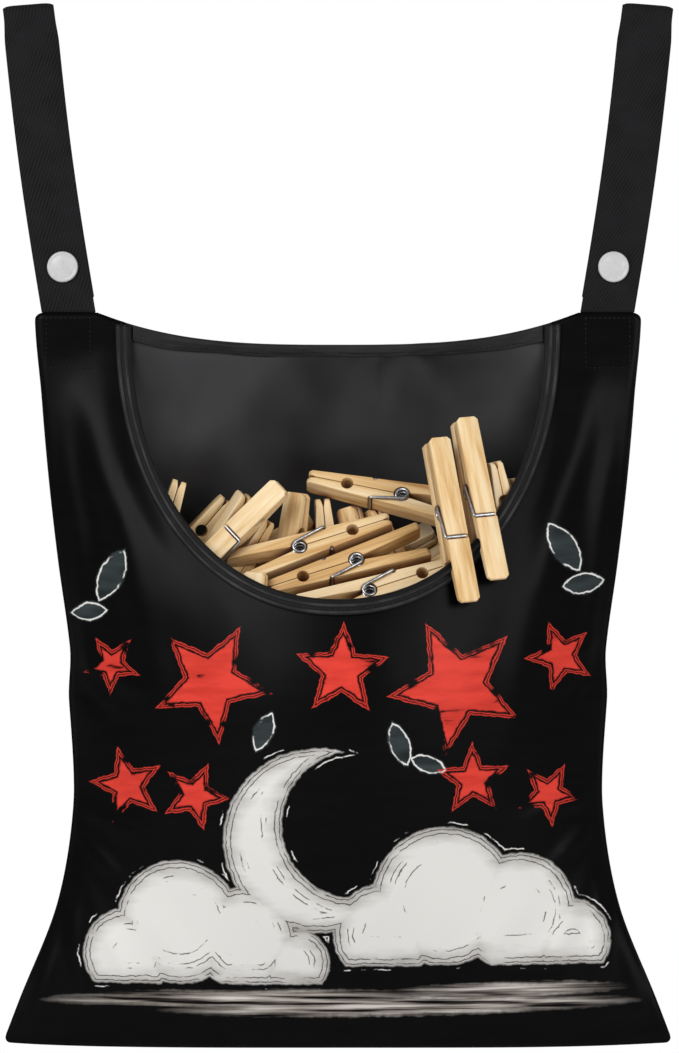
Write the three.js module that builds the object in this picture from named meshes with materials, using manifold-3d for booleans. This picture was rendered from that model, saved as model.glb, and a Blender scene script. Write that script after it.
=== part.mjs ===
// Peg bag: a cloth pocket on two webbing straps that fold over a washing line and close with press studs.
// Millimetres, +Z up, the front of the bag faces -Y. The origin is on the line, midway between the straps.
import * as THREE from 'three';
import { mergeVertices } from 'three/addons/utils/BufferGeometryUtils.js';
import Module from 'manifold-3d';

// Clearances
const TOUCH = 0.3; // gap between two pieces that touch
const BINDING_FIT = 0.55; // gap between the cloth and the tape folded over it
const PILE_CLEAR = 1.1; // gap between the heap of pegs and the front
const PILE_CLEAR_BACK = 3; // and the back, which bends where it starts to lie flat

// Straps: webbing sewn into the bag's corners, folded over the line
const WEB_WIDTH = 27;
const WEB_THICK = 1.6;
const LOOP_RADIUS = 2.4; // inside of the fold
const STRAP_DROP = 147.5; // line to the hem, where the bag swings
const STRAP_OUT_TOP = 154.5; // middle of a strap from the middle of the bag, at the line
const STRAP_OUT_HEM = 134.75; // the same at the hem
const FLAP_SHORT = 5.5; // height of the flap's free end above the hem
const TAIL_LENGTH = 30; // webbing sewn in below the hem

// Press studs
const STUD_DROP = 125.5; // line to the stud
const CAP_RADIUS = 7.75;
const CAP_RISE = 2; // height of a cap's dome
const CAP_EDGE = 0.6; // height of its rim
const PRONG_RADIUS = 1.1;
const SOCKET_RADIUS = 5.5;
const SOCKET_FLOOR = 0.8;
const NUB_RADIUS = 2.5;
const NUB_LENGTH = 1.3;
const STUD_RADIUS = 5.2;
const STUD_BASE = 1.1;

// Cloth of the bag
const CLOTH = 0.8;
const BAG_HEIGHT = 368; // hem to bottom edge
const TOP_HALF = 151.5; // half widths at the hem, at the waist and at the bottom
const WAIST_HALF = 132;
const BOTTOM_HALF = 167.5;
const WAIST_DROP = 240; // hem to the narrowest place
const FLARE = 1.55; // how late the sides spread below the waist
const TOP_DIP = 16; // sag of the back panel's top edge
const DIP_HALF = 120; // half of the stretch that sags
const YOKE = 22; // flat band under the hem
const FRONT_BULGE = 64;
const BACK_BULGE = 52;
const BACK_FLAT = 38; // where the back lies flat
const SWELL = 1; // how low the fullest place lies
const SEAM_FADE = 40; // below the tails the panels close up over this height

// Mouth and its binding, and the hem
const MOUTH_HALF = 103.5;
const MOUTH_DEPTH = 136.6;
const MOUTH_SQUARE = 2.15; // 2 would be an ellipse
const TAPE = 0.5;
const BINDING_WIDTH = 6.5;
const HEM_WIDTH = 9;
const HEM_THICK = 0.6;

// Box stitching on the corners
const THREAD = 0.8;
const STITCH_MARGIN = 2.5; // inside the edge of the tail

// Wooden spring pegs: the coil is the peg's middle, the handles lie above it and the jaws below
const PEG_WIDTH = 11;
const HANDLE = 36;
const JAW = 48;
const LEVER_THICK = 7.2; // mating face to outer face, at the coil
const LEVER_FLARE = THREE.MathUtils.degToRad(4.5);
const HANDLE_THICK = 4.2;
const JAW_CHAMFER = 4;
const NOTCH_DROP = 28; // coil to the round notch in the jaws
const NOTCH_RADIUS = 3;
const WIRE = 1.5;
const COIL_RADIUS = 3; // middle of the wire
const CURLS = 4;
const ARM_DROP = 15; // coil to the wire's groove on the outer faces
const WIRE_END = 1.5; // the wire stops this far inside the lever's edge

// Two pegs are clipped on the right of the mouth
const RIM_PEG_TURN = 0.682; // place of the first one along the mouth, from left to right
const RIM_PEG_GAP = 4;
const RIM_PEG_LEAN = THREE.MathUtils.degToRad(10);
const RIM_GRIPS = [20, 15]; // for each peg, coil to the binding where it lies nearest
const GRIP_CLEAR = 0.45; // gap between the jaws and the binding there

// Heap of pegs in the bag
const HEAP_SLOPE = THREE.MathUtils.degToRad(60);
const HEAP_SINK = 22; // the slope's foot lies this far below the rim
const HEAP_TOP = 82; // hem to the heap's highest place, at the back
const HEAP_BOTTOM = 185; // hem to its lowest place
const HEAP_SHARE = 0.8; // of the bag's width
const HEAP_TURN = THREE.MathUtils.degToRad(20);
const HEAP_MIDDLE = 21; // middle of the lowest row from the middle of the bag
const HEAP_UP = 34; // the same up the slope, where it fits there
const HEAP_ROWS = 3;
const HEAP_STAGGER = 12; // each row lies this much further left than the one below it
const ROW_GAP = 4; // between the facing sides of two rows, with a wire in it
const CROSS_PEG_ACROSS = 26; // one peg lies askew above the rows
const CROSS_PEG_ABOVE = 54; // its middle from the lowest row's, up the slope
const CROSS_PEG_TURN = THREE.MathUtils.degToRad(-13);

// Facets
const PANEL_COLUMNS = 26;
const PANEL_ROWS = 28;
const BACK_COLUMNS = 20;
const BACK_ROWS = 20;
const MOUTH_STEPS = 44;
const HEAP_LEVELS = 8;
const HEAP_SPANS = 14;
const ROUND_STEPS = 20;
const CAP_STEPS = 4;
const CURL_STEPS = 8;
const WIRE_SIDES = 5;

// Derived sizes
const STRAP_LEAN = Math.atan2(STRAP_OUT_TOP - STRAP_OUT_HEM, STRAP_DROP);
const ALONG_STRAP = 1 / Math.cos(STRAP_LEAN);
const HEM_Y = -(LOOP_RADIUS + WEB_THICK / 2);
const CAP_FACE = LOOP_RADIUS + WEB_THICK + TOUCH;
const SOCKET_BACK_Y = TOUCH - LOOP_RADIUS;
const SOCKET_FLOOR_Y = SOCKET_BACK_Y + SOCKET_FLOOR;
const STUD_BACK_Y = LOOP_RADIUS - TOUCH;
const STUD_FRONT_Y = STUD_BACK_Y - STUD_BASE;
const HEM_GAP = WEB_THICK / 2 + TOUCH;
const TAIL_ROOM = WEB_THICK + 2 * TOUCH;
const BINDING_LIP = TAPE + BINDING_FIT;
const BINDING_THICK = CLOTH + 2 * BINDING_LIP;
const GROOVE_RADIUS = COIL_RADIUS + WIRE / 2 + TOUCH;
const ARM_SIDE = PEG_WIDTH / 2 + TOUCH + WIRE / 2;
const PEG_LENGTH = HANDLE + JAW;
const PEG_REST = ARM_SIDE + WIRE / 2 + TOUCH; // middle of a peg lying on its side, above what it lies on

const CLOTH_LOOK = { color: 0x121213, roughness: 0.55, metalness: 0 };
const TAPE_LOOK = { color: 0x313135, roughness: 0.6, metalness: 0 };
const WEB_LOOK = { color: 0x2a2a2c, roughness: 0.85, metalness: 0 };
const THREAD_LOOK = { color: 0x0c0c0d, roughness: 0.5, metalness: 0 };
const CAP_LOOK = { color: 0xd4d4d6, roughness: 0.3, metalness: 0.1 };
const WOOD_LOOK = { color: 0xe0b878, roughness: 0.6, metalness: 0 };
const WIRE_LOOK = { color: 0xb9bcc0, roughness: 0.3, metalness: 1 };

const wasm = await Module();
wasm.setup();

function piece(name, geometry, look) {
  const mesh = new THREE.Mesh(geometry, new THREE.MeshStandardMaterial(look));
  mesh.name = name;
  return mesh;
}

// Solids for cutting and joining
function toSolid(geometry) {
  const bare = geometry.clone();
  bare.deleteAttribute('normal');
  bare.deleteAttribute('uv');
  const merged = mergeVertices(bare);
  const vertProperties = Float32Array.from(merged.attributes.position.array);
  const triVerts = Uint32Array.from(merged.index.array);
  return new wasm.Manifold(new wasm.Mesh({ numProp: 3, vertProperties, triVerts }));
}

function toGeometry(solid) {
  const { vertProperties, triVerts } = solid.getMesh();
  const geometry = new THREE.BufferGeometry();
  geometry.setAttribute('position', new THREE.Float32BufferAttribute(vertProperties, 3));
  geometry.setIndex(new THREE.Uint32BufferAttribute(triVerts, 1));
  geometry.computeVertexNormals();
  return geometry;
}

function cut(geometry, ...tools) {
  const body = tools.reduce((left, tool) => left.subtract(toSolid(tool)), toSolid(geometry));
  return toGeometry(body);
}

// Triangles of a flat end, turned the way its outline runs
function endTriangles(outline) {
  const turn = Math.sign(THREE.ShapeUtils.area(outline));
  return THREE.ShapeUtils.triangulateShape(outline, []).map(([a, b, c]) => {
    const same = Math.sign(THREE.ShapeUtils.area([outline[a], outline[b], outline[c]])) === turn;
    return same ? [a, b, c] : [a, c, b];
  });
}

function volumeOf(points, index) {
  let sum = 0;
  for (let i = 0; i < index.length; i += 3) {
    const [a, b, c] = [points[index[i]], points[index[i + 1]], points[index[i + 2]]];
    sum += a.dot(new THREE.Vector3().crossVectors(b, c));
  }
  return sum / 6;
}

function facingOut(geometry) {
  const spots = geometry.attributes.position;
  const pointAt = (_, i) => new THREE.Vector3().fromBufferAttribute(spots, i);
  const points = Array.from({ length: spots.count }, pointAt);
  const index = [...geometry.index.array];
  return volumeOf(points, index) < 0 ? geometry.setIndex(index.reverse()) : geometry;
}

// Closed skin over a row of sections; without triangles for its ends it closes on itself as a ring
function skin(sections, ends) {
  const count = sections[0].length;
  const points = sections.flat();
  const index = [];
  const spans = ends ? sections.length - 1 : sections.length;
  for (let i = 0; i < spans; i += 1) {
    const here = i * count;
    const next = ((i + 1) % sections.length) * count;
    for (let k = 0; k < count; k += 1) {
      const k2 = (k + 1) % count;
      index.push(here + k, next + k, next + k2);
      index.push(here + k, next + k2, here + k2);
    }
  }
  if (ends) {
    const last = (sections.length - 1) * count;
    for (const [a, b, c] of ends) {
      index.push(a, b, c);
      index.push(last + a, last + c, last + b);
    }
  }
  return facingOut(new THREE.BufferGeometry().setFromPoints(points).setIndex(index));
}

// Round section carried along a path without twisting; a ring has no ends
function tube(path, radius, sides, ring) {
  const last = path.length - 1;
  const tangents = path.map((point, i) => {
    const before = ring ? path[(i + last) % path.length] : path[Math.max(i - 1, 0)];
    const after = ring ? path[(i + 1) % path.length] : path[Math.min(i + 1, last)];
    return new THREE.Vector3().subVectors(after, before).normalize();
  });
  const start = Math.abs(tangents[0].y) < 0.9 ? new THREE.Vector3(0, 1, 0) : new THREE.Vector3(1, 0, 0);
  let across = new THREE.Vector3().crossVectors(tangents[0], start).normalize();
  const sections = path.map((point, i) => {
    across = across.clone().addScaledVector(tangents[i], -across.dot(tangents[i])).normalize();
    const other = new THREE.Vector3().crossVectors(tangents[i], across);
    return roundOutline(radius, sides).map(({ x, y }) =>
      point.clone().addScaledVector(across, x).addScaledVector(other, y));
  });
  return skin(sections, ring ? null : endTriangles(roundOutline(radius, sides)));
}

function roundOutline(radius, sides) {
  return arc(0, 0, radius, 0, 2 * Math.PI * (1 - 1 / sides), sides - 1);
}

function arc(cx, cy, radius, from, to, steps) {
  return Array.from({ length: steps + 1 }, (_, i) => {
    const angle = from + ((to - from) * i) / steps;
    return new THREE.Vector2(cx + radius * Math.cos(angle), cy + radius * Math.sin(angle));
  });
}

// Outline drawn in Y and Z, given a width across X about the middle
function slab(outline, width) {
  const shape = new THREE.Shape(outline);
  const geometry = new THREE.ExtrudeGeometry(shape, { depth: width, bevelEnabled: false });
  geometry.translate(0, 0, -width / 2);
  const [x, y, z] = [new THREE.Vector3(1, 0, 0), new THREE.Vector3(0, 1, 0), new THREE.Vector3(0, 0, 1)];
  return geometry.applyMatrix4(new THREE.Matrix4().makeBasis(y, z, x));
}

// Shape of the bag: drop is the height below the hem, y is measured from the plane of the side seams
function halfWidth(drop) {
  if (drop < WAIST_DROP) {
    const ease = (1 - Math.cos((Math.PI * drop) / WAIST_DROP)) / 2;
    return THREE.MathUtils.lerp(TOP_HALF, WAIST_HALF, ease);
  }
  const below = (drop - WAIST_DROP) / (BAG_HEIGHT - WAIST_DROP);
  return THREE.MathUtils.lerp(WAIST_HALF, BOTTOM_HALF, below ** FLARE);
}

function topDrop(x) {
  return HEM_GAP + TOP_DIP * Math.max(0, 1 - (Math.abs(x) / DIP_HALF) ** 3);
}

function fullness(x, drop) {
  const down = THREE.MathUtils.clamp((drop - YOKE) / (BAG_HEIGHT - YOKE), 0, 1);
  const across = THREE.MathUtils.clamp(x / halfWidth(drop), -1, 1);
  return Math.sin(Math.PI * down ** SWELL) * (1 - across ** 2);
}

function seamOffset(drop) {
  const ease = THREE.MathUtils.smoothstep(drop, TAIL_LENGTH + HEM_GAP, TAIL_LENGTH + HEM_GAP + SEAM_FADE);
  return THREE.MathUtils.lerp(TAIL_ROOM, TOUCH, ease) / 2;
}

function frontInside(x, drop) {
  return -seamOffset(drop) - FRONT_BULGE * fullness(x, drop);
}

function backInside(x, drop) {
  return seamOffset(drop) + Math.min(BACK_BULGE * fullness(x, drop), BACK_FLAT);
}

function onBag(x, y, drop) {
  return new THREE.Vector3(x, y, -STRAP_DROP - drop);
}

// Ends of a panel: a strip between its inside and its outside, so that the edge follows the row's dip
function stripTriangles(columns) {
  const outside = (i) => 2 * columns + 1 - i;
  return Array.from({ length: columns }, (_, i) => [
    [i, i + 1, outside(i + 1)],
    [i, outside(i + 1), outside(i)],
  ]).flat();
}

// A panel is a skin over its rows, each row a thin loop along the inside and back along the outside
function panel(inside, outward, columns, rows) {
  const sections = [];
  for (let j = 0; j <= rows; j += 1) {
    const near = [];
    const far = [];
    for (let i = 0; i <= columns; i += 1) {
      const across = -1 + (2 * i) / columns;
      const top = topDrop(across * halfWidth(0));
      const drop = top + ((BAG_HEIGHT - top) * j) / rows;
      const x = across * halfWidth(drop);
      const y = inside(x, drop);
      near.push(onBag(x, y, drop));
      far.unshift(onBag(x, y + outward * CLOTH, drop));
    }
    sections.push([...near, ...far]);
  }
  return skin(sections, stripTriangles(columns));
}

// Edge of the mouth from left to right, moved out onto the cloth by an offset
function mouthEdge(share, offset) {
  const curve = (s) => {
    const angle = Math.PI * THREE.MathUtils.clamp(s, 0, 1);
    const x = -MOUTH_HALF * Math.sign(Math.cos(angle)) * Math.abs(Math.cos(angle)) ** (2 / MOUTH_SQUARE);
    const drop = topDrop(MOUTH_HALF) + MOUTH_DEPTH * Math.abs(Math.sin(angle)) ** (2 / MOUTH_SQUARE);
    return new THREE.Vector2(x, drop);
  };
  const step = 1e-4;
  const along = curve(share + step).sub(curve(share - step)).normalize();
  return curve(share).add(new THREE.Vector2(-along.y, along.x).multiplyScalar(offset));
}

function mouthCutter() {
  const edge = Array.from({ length: MOUTH_STEPS + 1 }, (_, i) => mouthEdge(i / MOUTH_STEPS, BINDING_LIP));
  const outline = edge.map(({ x, y }) => new THREE.Vector2(x, -STRAP_DROP - y));
  outline.push(new THREE.Vector2(outline.at(-1).x, 0), new THREE.Vector2(outline[0].x, 0));
  const depth = 4 * FRONT_BULGE;
  const cutter = new THREE.ExtrudeGeometry(new THREE.Shape(outline), { depth, bevelEnabled: false });
  cutter.translate(0, 0, -depth / 2);
  return cutter.rotateX(Math.PI / 2);
}

function frontPanel() {
  const cloth = panel(frontInside, -1, PANEL_COLUMNS, PANEL_ROWS);
  return piece('front_panel', cut(cloth, mouthCutter()), CLOTH_LOOK);
}

function backPanel() {
  return piece('back_panel', panel(backInside, 1, BACK_COLUMNS, BACK_ROWS), CLOTH_LOOK);
}

// Tape folded over the mouth's raw edge, a channel open towards the cloth
function mouthBinding() {
  const [front, back] = [-CLOTH - BINDING_FIT, BINDING_FIT];
  const channel = [
    [BINDING_WIDTH, front - TAPE], [0, front - TAPE], [0, back + TAPE], [BINDING_WIDTH, back + TAPE],
    [BINDING_WIDTH, back], [TAPE, back], [TAPE, front], [BINDING_WIDTH, front],
  ];
  const sections = Array.from({ length: MOUTH_STEPS + 1 }, (_, i) => channel.map(([offset, depth]) => {
    const edge = mouthEdge(i / MOUTH_STEPS, offset);
    return onBag(edge.x, frontInside(edge.x, edge.y) + depth, edge.y);
  }));
  const ends = endTriangles(channel.map(([offset, depth]) => new THREE.Vector2(offset, depth)));
  return piece('mouth_binding', skin(sections, ends), TAPE_LOOK);
}

// Strip sewn along the inside of the back panel's top edge, between the ends of the binding
function topHem() {
  const half = MOUTH_HALF - TOUCH;
  const sections = Array.from({ length: BACK_COLUMNS + 1 }, (_, i) => {
    const x = -half + (2 * half * i) / BACK_COLUMNS;
    const top = topDrop(x);
    const near = backInside(x, top) - TOUCH;
    const low = top + HEM_WIDTH;
    const far = near - HEM_THICK;
    return [[near, top], [near, low], [far, low], [far, top]].map(([y, drop]) => onBag(x, y, drop));
  });
  const ends = endTriangles(sections[0].map(({ y, z }) => new THREE.Vector2(y, z)));
  return piece('top_hem', skin(sections, ends), CLOTH_LOOK);
}

function strapTail(name, side) {
  const tail = new THREE.BoxGeometry(WEB_WIDTH, WEB_THICK, TAIL_LENGTH);
  tail.translate(side * STRAP_OUT_HEM, 0, -STRAP_DROP - HEM_GAP - TAIL_LENGTH / 2);
  return piece(name, tail, WEB_LOOK);
}

// Ring of thread standing on the front of a corner, over the sewn tail
function boxStitch(name, side) {
  const half = WEB_WIDTH / 2 - STITCH_MARGIN;
  const high = HEM_GAP + STITCH_MARGIN;
  const low = HEM_GAP + TAIL_LENGTH - STITCH_MARGIN;
  const middle = (high + low) / 2;
  const corners = [
    [-half, high], [0, high], [half, high], [half, middle],
    [half, low], [0, low], [-half, low], [-half, middle],
  ];
  const path = corners.map(([across, drop]) => {
    const x = side * STRAP_OUT_HEM + across;
    return onBag(x, frontInside(x, drop) - CLOTH - TOUCH - THREAD / 2, drop);
  });
  return piece(name, tube(path, THREAD / 2, WIRE_SIDES + 1, true), THREAD_LOOK);
}

// Webbing: the front layer runs up from the hem to the fold, the flap comes down behind it
function webbingLayer(side, back) {
  const outer = LOOP_RADIUS + WEB_THICK;
  const length = (STRAP_DROP - (back ? FLAP_SHORT : 0)) * ALONG_STRAP;
  const start = (radius) => Math.PI / 2 + Math.asin(TOUCH / 2 / radius);
  const insideFold = arc(0, 0, LOOP_RADIUS, Math.PI, start(LOOP_RADIUS), CURL_STEPS);
  const outsideFold = arc(0, 0, outer, start(outer), Math.PI, CURL_STEPS);
  const roundEnd = arc(HEM_Y, -length, WEB_THICK / 2, Math.PI, 2 * Math.PI, CURL_STEPS);
  const squareEnd = [new THREE.Vector2(-outer, -length), new THREE.Vector2(-LOOP_RADIUS, -length)];
  const outline = [...(back ? squareEnd : roundEnd), ...insideFold, ...outsideFold];
  const mirror = back ? -1 : 1;
  const webbing = slab(outline.map(({ x, y }) => new THREE.Vector2(x * mirror, y)), WEB_WIDTH);
  if (!back) {
    levelEnd(webbing, -length / 2, Math.tan(side * STRAP_LEAN));
  }
  const hole = new THREE.CylinderGeometry(PRONG_RADIUS + TOUCH, PRONG_RADIUS + TOUCH, 2 * outer, ROUND_STEPS);
  hole.translate(0, -mirror * outer, -STUD_DROP * ALONG_STRAP);
  return cut(webbing, hole);
}

// Cuts the leaning strap's lower end level, so that it lies along the hem
function levelEnd(webbing, below, slope) {
  const spots = webbing.attributes.position;
  for (let i = 0; i < spots.count; i += 1) {
    if (spots.getZ(i) < below) {
      spots.setZ(i, spots.getZ(i) + spots.getX(i) * slope);
    }
  }
}

// Press stud, turned about its own axis along Y; the profiles run from the front to the back of each piece
function turned(name, profile, look) {
  const points = profile.map(([radius, y]) => new THREE.Vector2(radius, y));
  const lathe = facingOut(new THREE.LatheGeometry(points, ROUND_STEPS));
  return piece(name, lathe.translate(0, 0, -STUD_DROP * ALONG_STRAP), look);
}

function capProfile(tip) {
  const dome = arc(0, 0, 1, Math.PI / 2, 0, CAP_STEPS).map(({ x, y }) =>
    [CAP_RADIUS * x, CAP_FACE + CAP_EDGE + (CAP_RISE - CAP_EDGE) * y]);
  return [...dome, [CAP_RADIUS, CAP_FACE], [PRONG_RADIUS, CAP_FACE], [PRONG_RADIUS, tip], [0, tip]];
}

function frontCap(name) {
  const profile = capProfile(TOUCH - SOCKET_FLOOR_Y);
  return turned(name, profile.map(([radius, y]) => [radius, -y]), CAP_LOOK);
}

function backCap(name) {
  return turned(name, capProfile(STUD_FRONT_Y + TOUCH), CAP_LOOK);
}

function socket(name) {
  const rim = STUD_FRONT_Y - TOUCH;
  const bore = NUB_RADIUS + TOUCH;
  const hole = PRONG_RADIUS + TOUCH;
  return turned(name, [
    [hole, SOCKET_BACK_Y], [SOCKET_RADIUS, SOCKET_BACK_Y], [SOCKET_RADIUS, rim], [bore, rim],
    [bore, SOCKET_FLOOR_Y], [hole, SOCKET_FLOOR_Y], [hole, SOCKET_BACK_Y],
  ], CAP_LOOK);
}

function stud(name) {
  const nubTip = STUD_FRONT_Y - NUB_LENGTH;
  const hole = PRONG_RADIUS + TOUCH;
  return turned(name, [
    [0, nubTip], [NUB_RADIUS, nubTip], [NUB_RADIUS, STUD_FRONT_Y], [STUD_RADIUS, STUD_FRONT_Y],
    [STUD_RADIUS, STUD_BACK_Y], [hole, STUD_BACK_Y], [hole, STUD_FRONT_Y], [0, STUD_FRONT_Y],
  ], CAP_LOOK);
}

function strap(prefix, side) {
  const group = new THREE.Group();
  group.position.x = side * STRAP_OUT_TOP;
  group.rotation.y = side * STRAP_LEAN;
  group.add(
    piece(`${prefix}_strap`, webbingLayer(side, false), WEB_LOOK),
    piece(`${prefix}_flap`, webbingLayer(side, true), WEB_LOOK),
    frontCap(`${prefix}_front_cap`),
    socket(`${prefix}_socket`),
    stud(`${prefix}_stud`),
    backCap(`${prefix}_back_cap`),
  );
  return group;
}

// Pegs: Z runs from the jaws to the handles, Y from the front lever to the back lever, X along the coil
function leverFace(z) {
  return LEVER_THICK + z * Math.tan(LEVER_FLARE);
}

function lever(name, side, open) {
  const mate = TOUCH / 2;
  const grooveStart = -Math.acos(mate / GROOVE_RADIUS);
  const grooveEnd = THREE.MathUtils.degToRad(72);
  const wireGroove = WIRE / 2 + TOUCH;
  const outline = [
    new THREE.Vector2(mate + JAW_CHAMFER / 4, -JAW),
    new THREE.Vector2(mate, JAW_CHAMFER - JAW),
    ...arc(mate, -NOTCH_DROP, NOTCH_RADIUS, -Math.PI / 2, Math.PI / 2, 6),
    ...arc(0, 0, GROOVE_RADIUS, grooveStart, grooveEnd, 7),
    new THREE.Vector2(leverFace(HANDLE) - HANDLE_THICK, HANDLE),
    new THREE.Vector2(leverFace(HANDLE), HANDLE),
    ...arc(leverFace(-ARM_DROP), -ARM_DROP, wireGroove, Math.PI / 2, 1.5 * Math.PI, 4),
    new THREE.Vector2(leverFace(-JAW), -JAW),
  ];
  const sided = outline.map(({ x, y }) => new THREE.Vector2(side * x, y));
  const mesh = piece(name, slab(sided, PEG_WIDTH), WOOD_LOOK);
  mesh.rotation.x = side * open;
  return mesh;
}

// Wire from the front lever's face along its side, round the coil and over to the back lever's face
function springPath(open) {
  const reach = Math.hypot(leverFace(-ARM_DROP), ARM_DROP);
  const lean = Math.atan2(leverFace(-ARM_DROP), ARM_DROP) + open;
  const [armY, armZ] = [reach * Math.sin(lean), -reach * Math.cos(lean)];
  const leave = Math.acos(COIL_RADIUS / reach);
  const from = 1.5 * Math.PI - lean - leave;
  const to = -Math.PI / 2 + lean + leave - 2 * Math.PI * CURLS;
  const steps = Math.ceil(((from - to) / (2 * Math.PI)) * CURL_STEPS);
  const bend = ARM_SIDE - PEG_WIDTH / 2;
  const free = PEG_WIDTH / 2 - WIRE_END;
  const coil = Array.from({ length: steps + 1 }, (_, i) => {
    const angle = from + ((to - from) * i) / steps;
    const x = -ARM_SIDE + (2 * ARM_SIDE * i) / steps;
    return new THREE.Vector3(x, COIL_RADIUS * Math.cos(angle), COIL_RADIUS * Math.sin(angle));
  });
  const arm = (side, meet) => {
    const corner = new THREE.Vector3(side * ARM_SIDE, side * armY, armZ);
    const rise = meet.clone().sub(corner).setLength(bend);
    return [
      new THREE.Vector3(-side * free, side * armY, armZ),
      corner.clone().setX(side * (ARM_SIDE - bend)),
      corner.clone().add(rise),
    ];
  };
  return [...arm(-1, coil[0]), ...coil, ...arm(1, coil.at(-1)).reverse()];
}

// Least gap between stretches of the wire that aren't neighbours along it
function leastGap(path) {
  const curve = new THREE.CurvePath();
  for (let i = 1; i < path.length; i += 1) {
    curve.add(new THREE.LineCurve3(path[i - 1], path[i]));
  }
  const samples = curve.getSpacedPoints(6 * path.length);
  const length = curve.getLength();
  const apart = Math.ceil((samples.length * Math.PI * COIL_RADIUS) / length);
  let least = Infinity;
  for (let i = 0; i < samples.length; i += 1) {
    for (let k = i + apart; k < samples.length; k += 1) {
      least = Math.min(least, samples[i].distanceTo(samples[k]));
    }
  }
  return least - WIRE;
}

function spring(name, open) {
  const path = springPath(open);
  console.log(`${name}: least gap of the wire to itself ${leastGap(path).toFixed(2)} mm`);
  return piece(name, tube(path, WIRE / 2, WIRE_SIDES, false), WIRE_LOOK);
}

function peg(prefix, open) {
  const group = new THREE.Group();
  group.add(lever(`${prefix}_front_lever`, -1, open), lever(`${prefix}_back_lever`, 1, open),
    spring(`${prefix}_spring`, open));
  return group;
}

// Place of a peg on the rim: the cloth lies between its jaws and its handles point up into the mouth
function rimPlace(share, near) {
  const edge = mouthEdge(share, 0);
  const middle = (x, drop) => frontInside(x, drop) - CLOTH / 2;
  const step = 0.5;
  const slopeX = (middle(edge.x + step, edge.y) - middle(edge.x - step, edge.y)) / (2 * step);
  const slopeZ = (middle(edge.x, edge.y - step) - middle(edge.x, edge.y + step)) / (2 * step);
  const inward = new THREE.Vector3(-slopeX, 1, -slopeZ).normalize();
  const up = new THREE.Vector3(-Math.sin(RIM_PEG_LEAN), 0, Math.cos(RIM_PEG_LEAN));
  up.y = -up.dot(inward) / inward.y;
  up.normalize();
  const across = new THREE.Vector3().crossVectors(inward, up);
  const ahead = mouthEdge(share + 1e-3, 0).sub(edge);
  const rim = new THREE.Vector3(ahead.x, 0, -ahead.y);
  const skew = Math.abs(rim.dot(up) / rim.dot(across));
  const grip = near + (PEG_WIDTH / 2) * skew;
  const matrix = new THREE.Matrix4().makeBasis(across, inward, up);
  return matrix.setPosition(onBag(edge.x, middle(edge.x, edge.y), edge.y).addScaledVector(up, grip));
}

function rimShares() {
  const pitch = 2 * (ARM_SIDE + WIRE / 2) + RIM_PEG_GAP;
  const shares = [RIM_PEG_TURN];
  const step = 1e-3;
  while (shares.length < RIM_GRIPS.length) {
    let share = shares.at(-1);
    let run = 0;
    while (run < pitch) {
      run += mouthEdge(share + step, 0).distanceTo(mouthEdge(share, 0));
      share += step;
    }
    shares.push(share);
  }
  return shares;
}

const RIM_OPENS = RIM_GRIPS.map((near) => Math.atan2(BINDING_THICK / 2 + GRIP_CLEAR, near));
const RIM_PLACES = rimShares().map((share, i) => rimPlace(share, RIM_GRIPS[i]));

function placed(group, matrix) {
  group.applyMatrix4(matrix);
  return group;
}

// The slope under the top pegs: X across the bag, Y up the slope, Z out of the heap
function heapFrame() {
  const bottom = mouthEdge(0.5, 0);
  const y = frontInside(0, bottom.y) + BINDING_THICK;
  const up = new THREE.Vector3(0, Math.cos(HEAP_SLOPE), Math.sin(HEAP_SLOPE));
  const out = new THREE.Vector3(0, -Math.sin(HEAP_SLOPE), Math.cos(HEAP_SLOPE));
  const matrix = new THREE.Matrix4().makeBasis(new THREE.Vector3(1, 0, 0), up, out);
  return matrix.setPosition(onBag(0, y, bottom.y + HEAP_SINK).addScaledVector(out, -2 * PEG_REST));
}

// Space in the bag at the height of the heap, drawn in from the cloth
function insideBag() {
  const sections = Array.from({ length: HEAP_LEVELS + 1 }, (_, j) => {
    const drop = THREE.MathUtils.lerp(HEAP_TOP, HEAP_BOTTOM, j / HEAP_LEVELS);
    const half = HEAP_SHARE * halfWidth(drop);
    const spots = Array.from({ length: HEAP_SPANS + 1 }, (__, i) => -half + (2 * half * i) / HEAP_SPANS);
    const front = spots.map((x) => onBag(x, frontInside(x, drop) + PILE_CLEAR, drop));
    const back = spots.map((x) => onBag(x, backInside(x, drop) - PILE_CLEAR_BACK, drop)).reverse();
    return [...front, ...back];
  });
  return skin(sections, endTriangles(sections[0].map(({ x, y }) => new THREE.Vector2(x, y))));
}

function aboveSlope() {
  const reach = 2 * BOTTOM_HALF;
  const block = new THREE.BoxGeometry(2 * reach, 2 * reach, reach);
  return block.translate(0, 0, reach / 2).applyMatrix4(heapFrame());
}

// Pegs under the top ones, as the outer shape of their heap; half of it is air, so it ends above the bottom
function lowerPegs() {
  const room = RIM_PLACES.map((place) => {
    const box = new THREE.BoxGeometry(2 * (ARM_SIDE + WIRE), 2 * leverFace(HANDLE), PEG_LENGTH + 2 * WIRE);
    return box.translate(0, 0, (HANDLE - JAW) / 2).applyMatrix4(place);
  });
  return piece('lower_pegs', cut(insideBag(), aboveSlope(), ...room), WOOD_LOOK);
}

// Place of a peg that lies on its side on the slope, about the middle of its length
function heapPlace({ across, up, turn, flip }) {
  const place = heapFrame();
  place.multiply(new THREE.Matrix4().makeTranslation(across, up, PEG_REST));
  place.multiply(new THREE.Matrix4().makeRotationZ(turn));
  place.multiply(new THREE.Matrix4().makeTranslation((-flip * (JAW - HANDLE)) / 2, 0, 0));
  return place.multiply(new THREE.Matrix4().makeBasis(
    new THREE.Vector3(0, 0, 1), new THREE.Vector3(0, flip, 0), new THREE.Vector3(-flip, 0, 0)));
}

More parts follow.
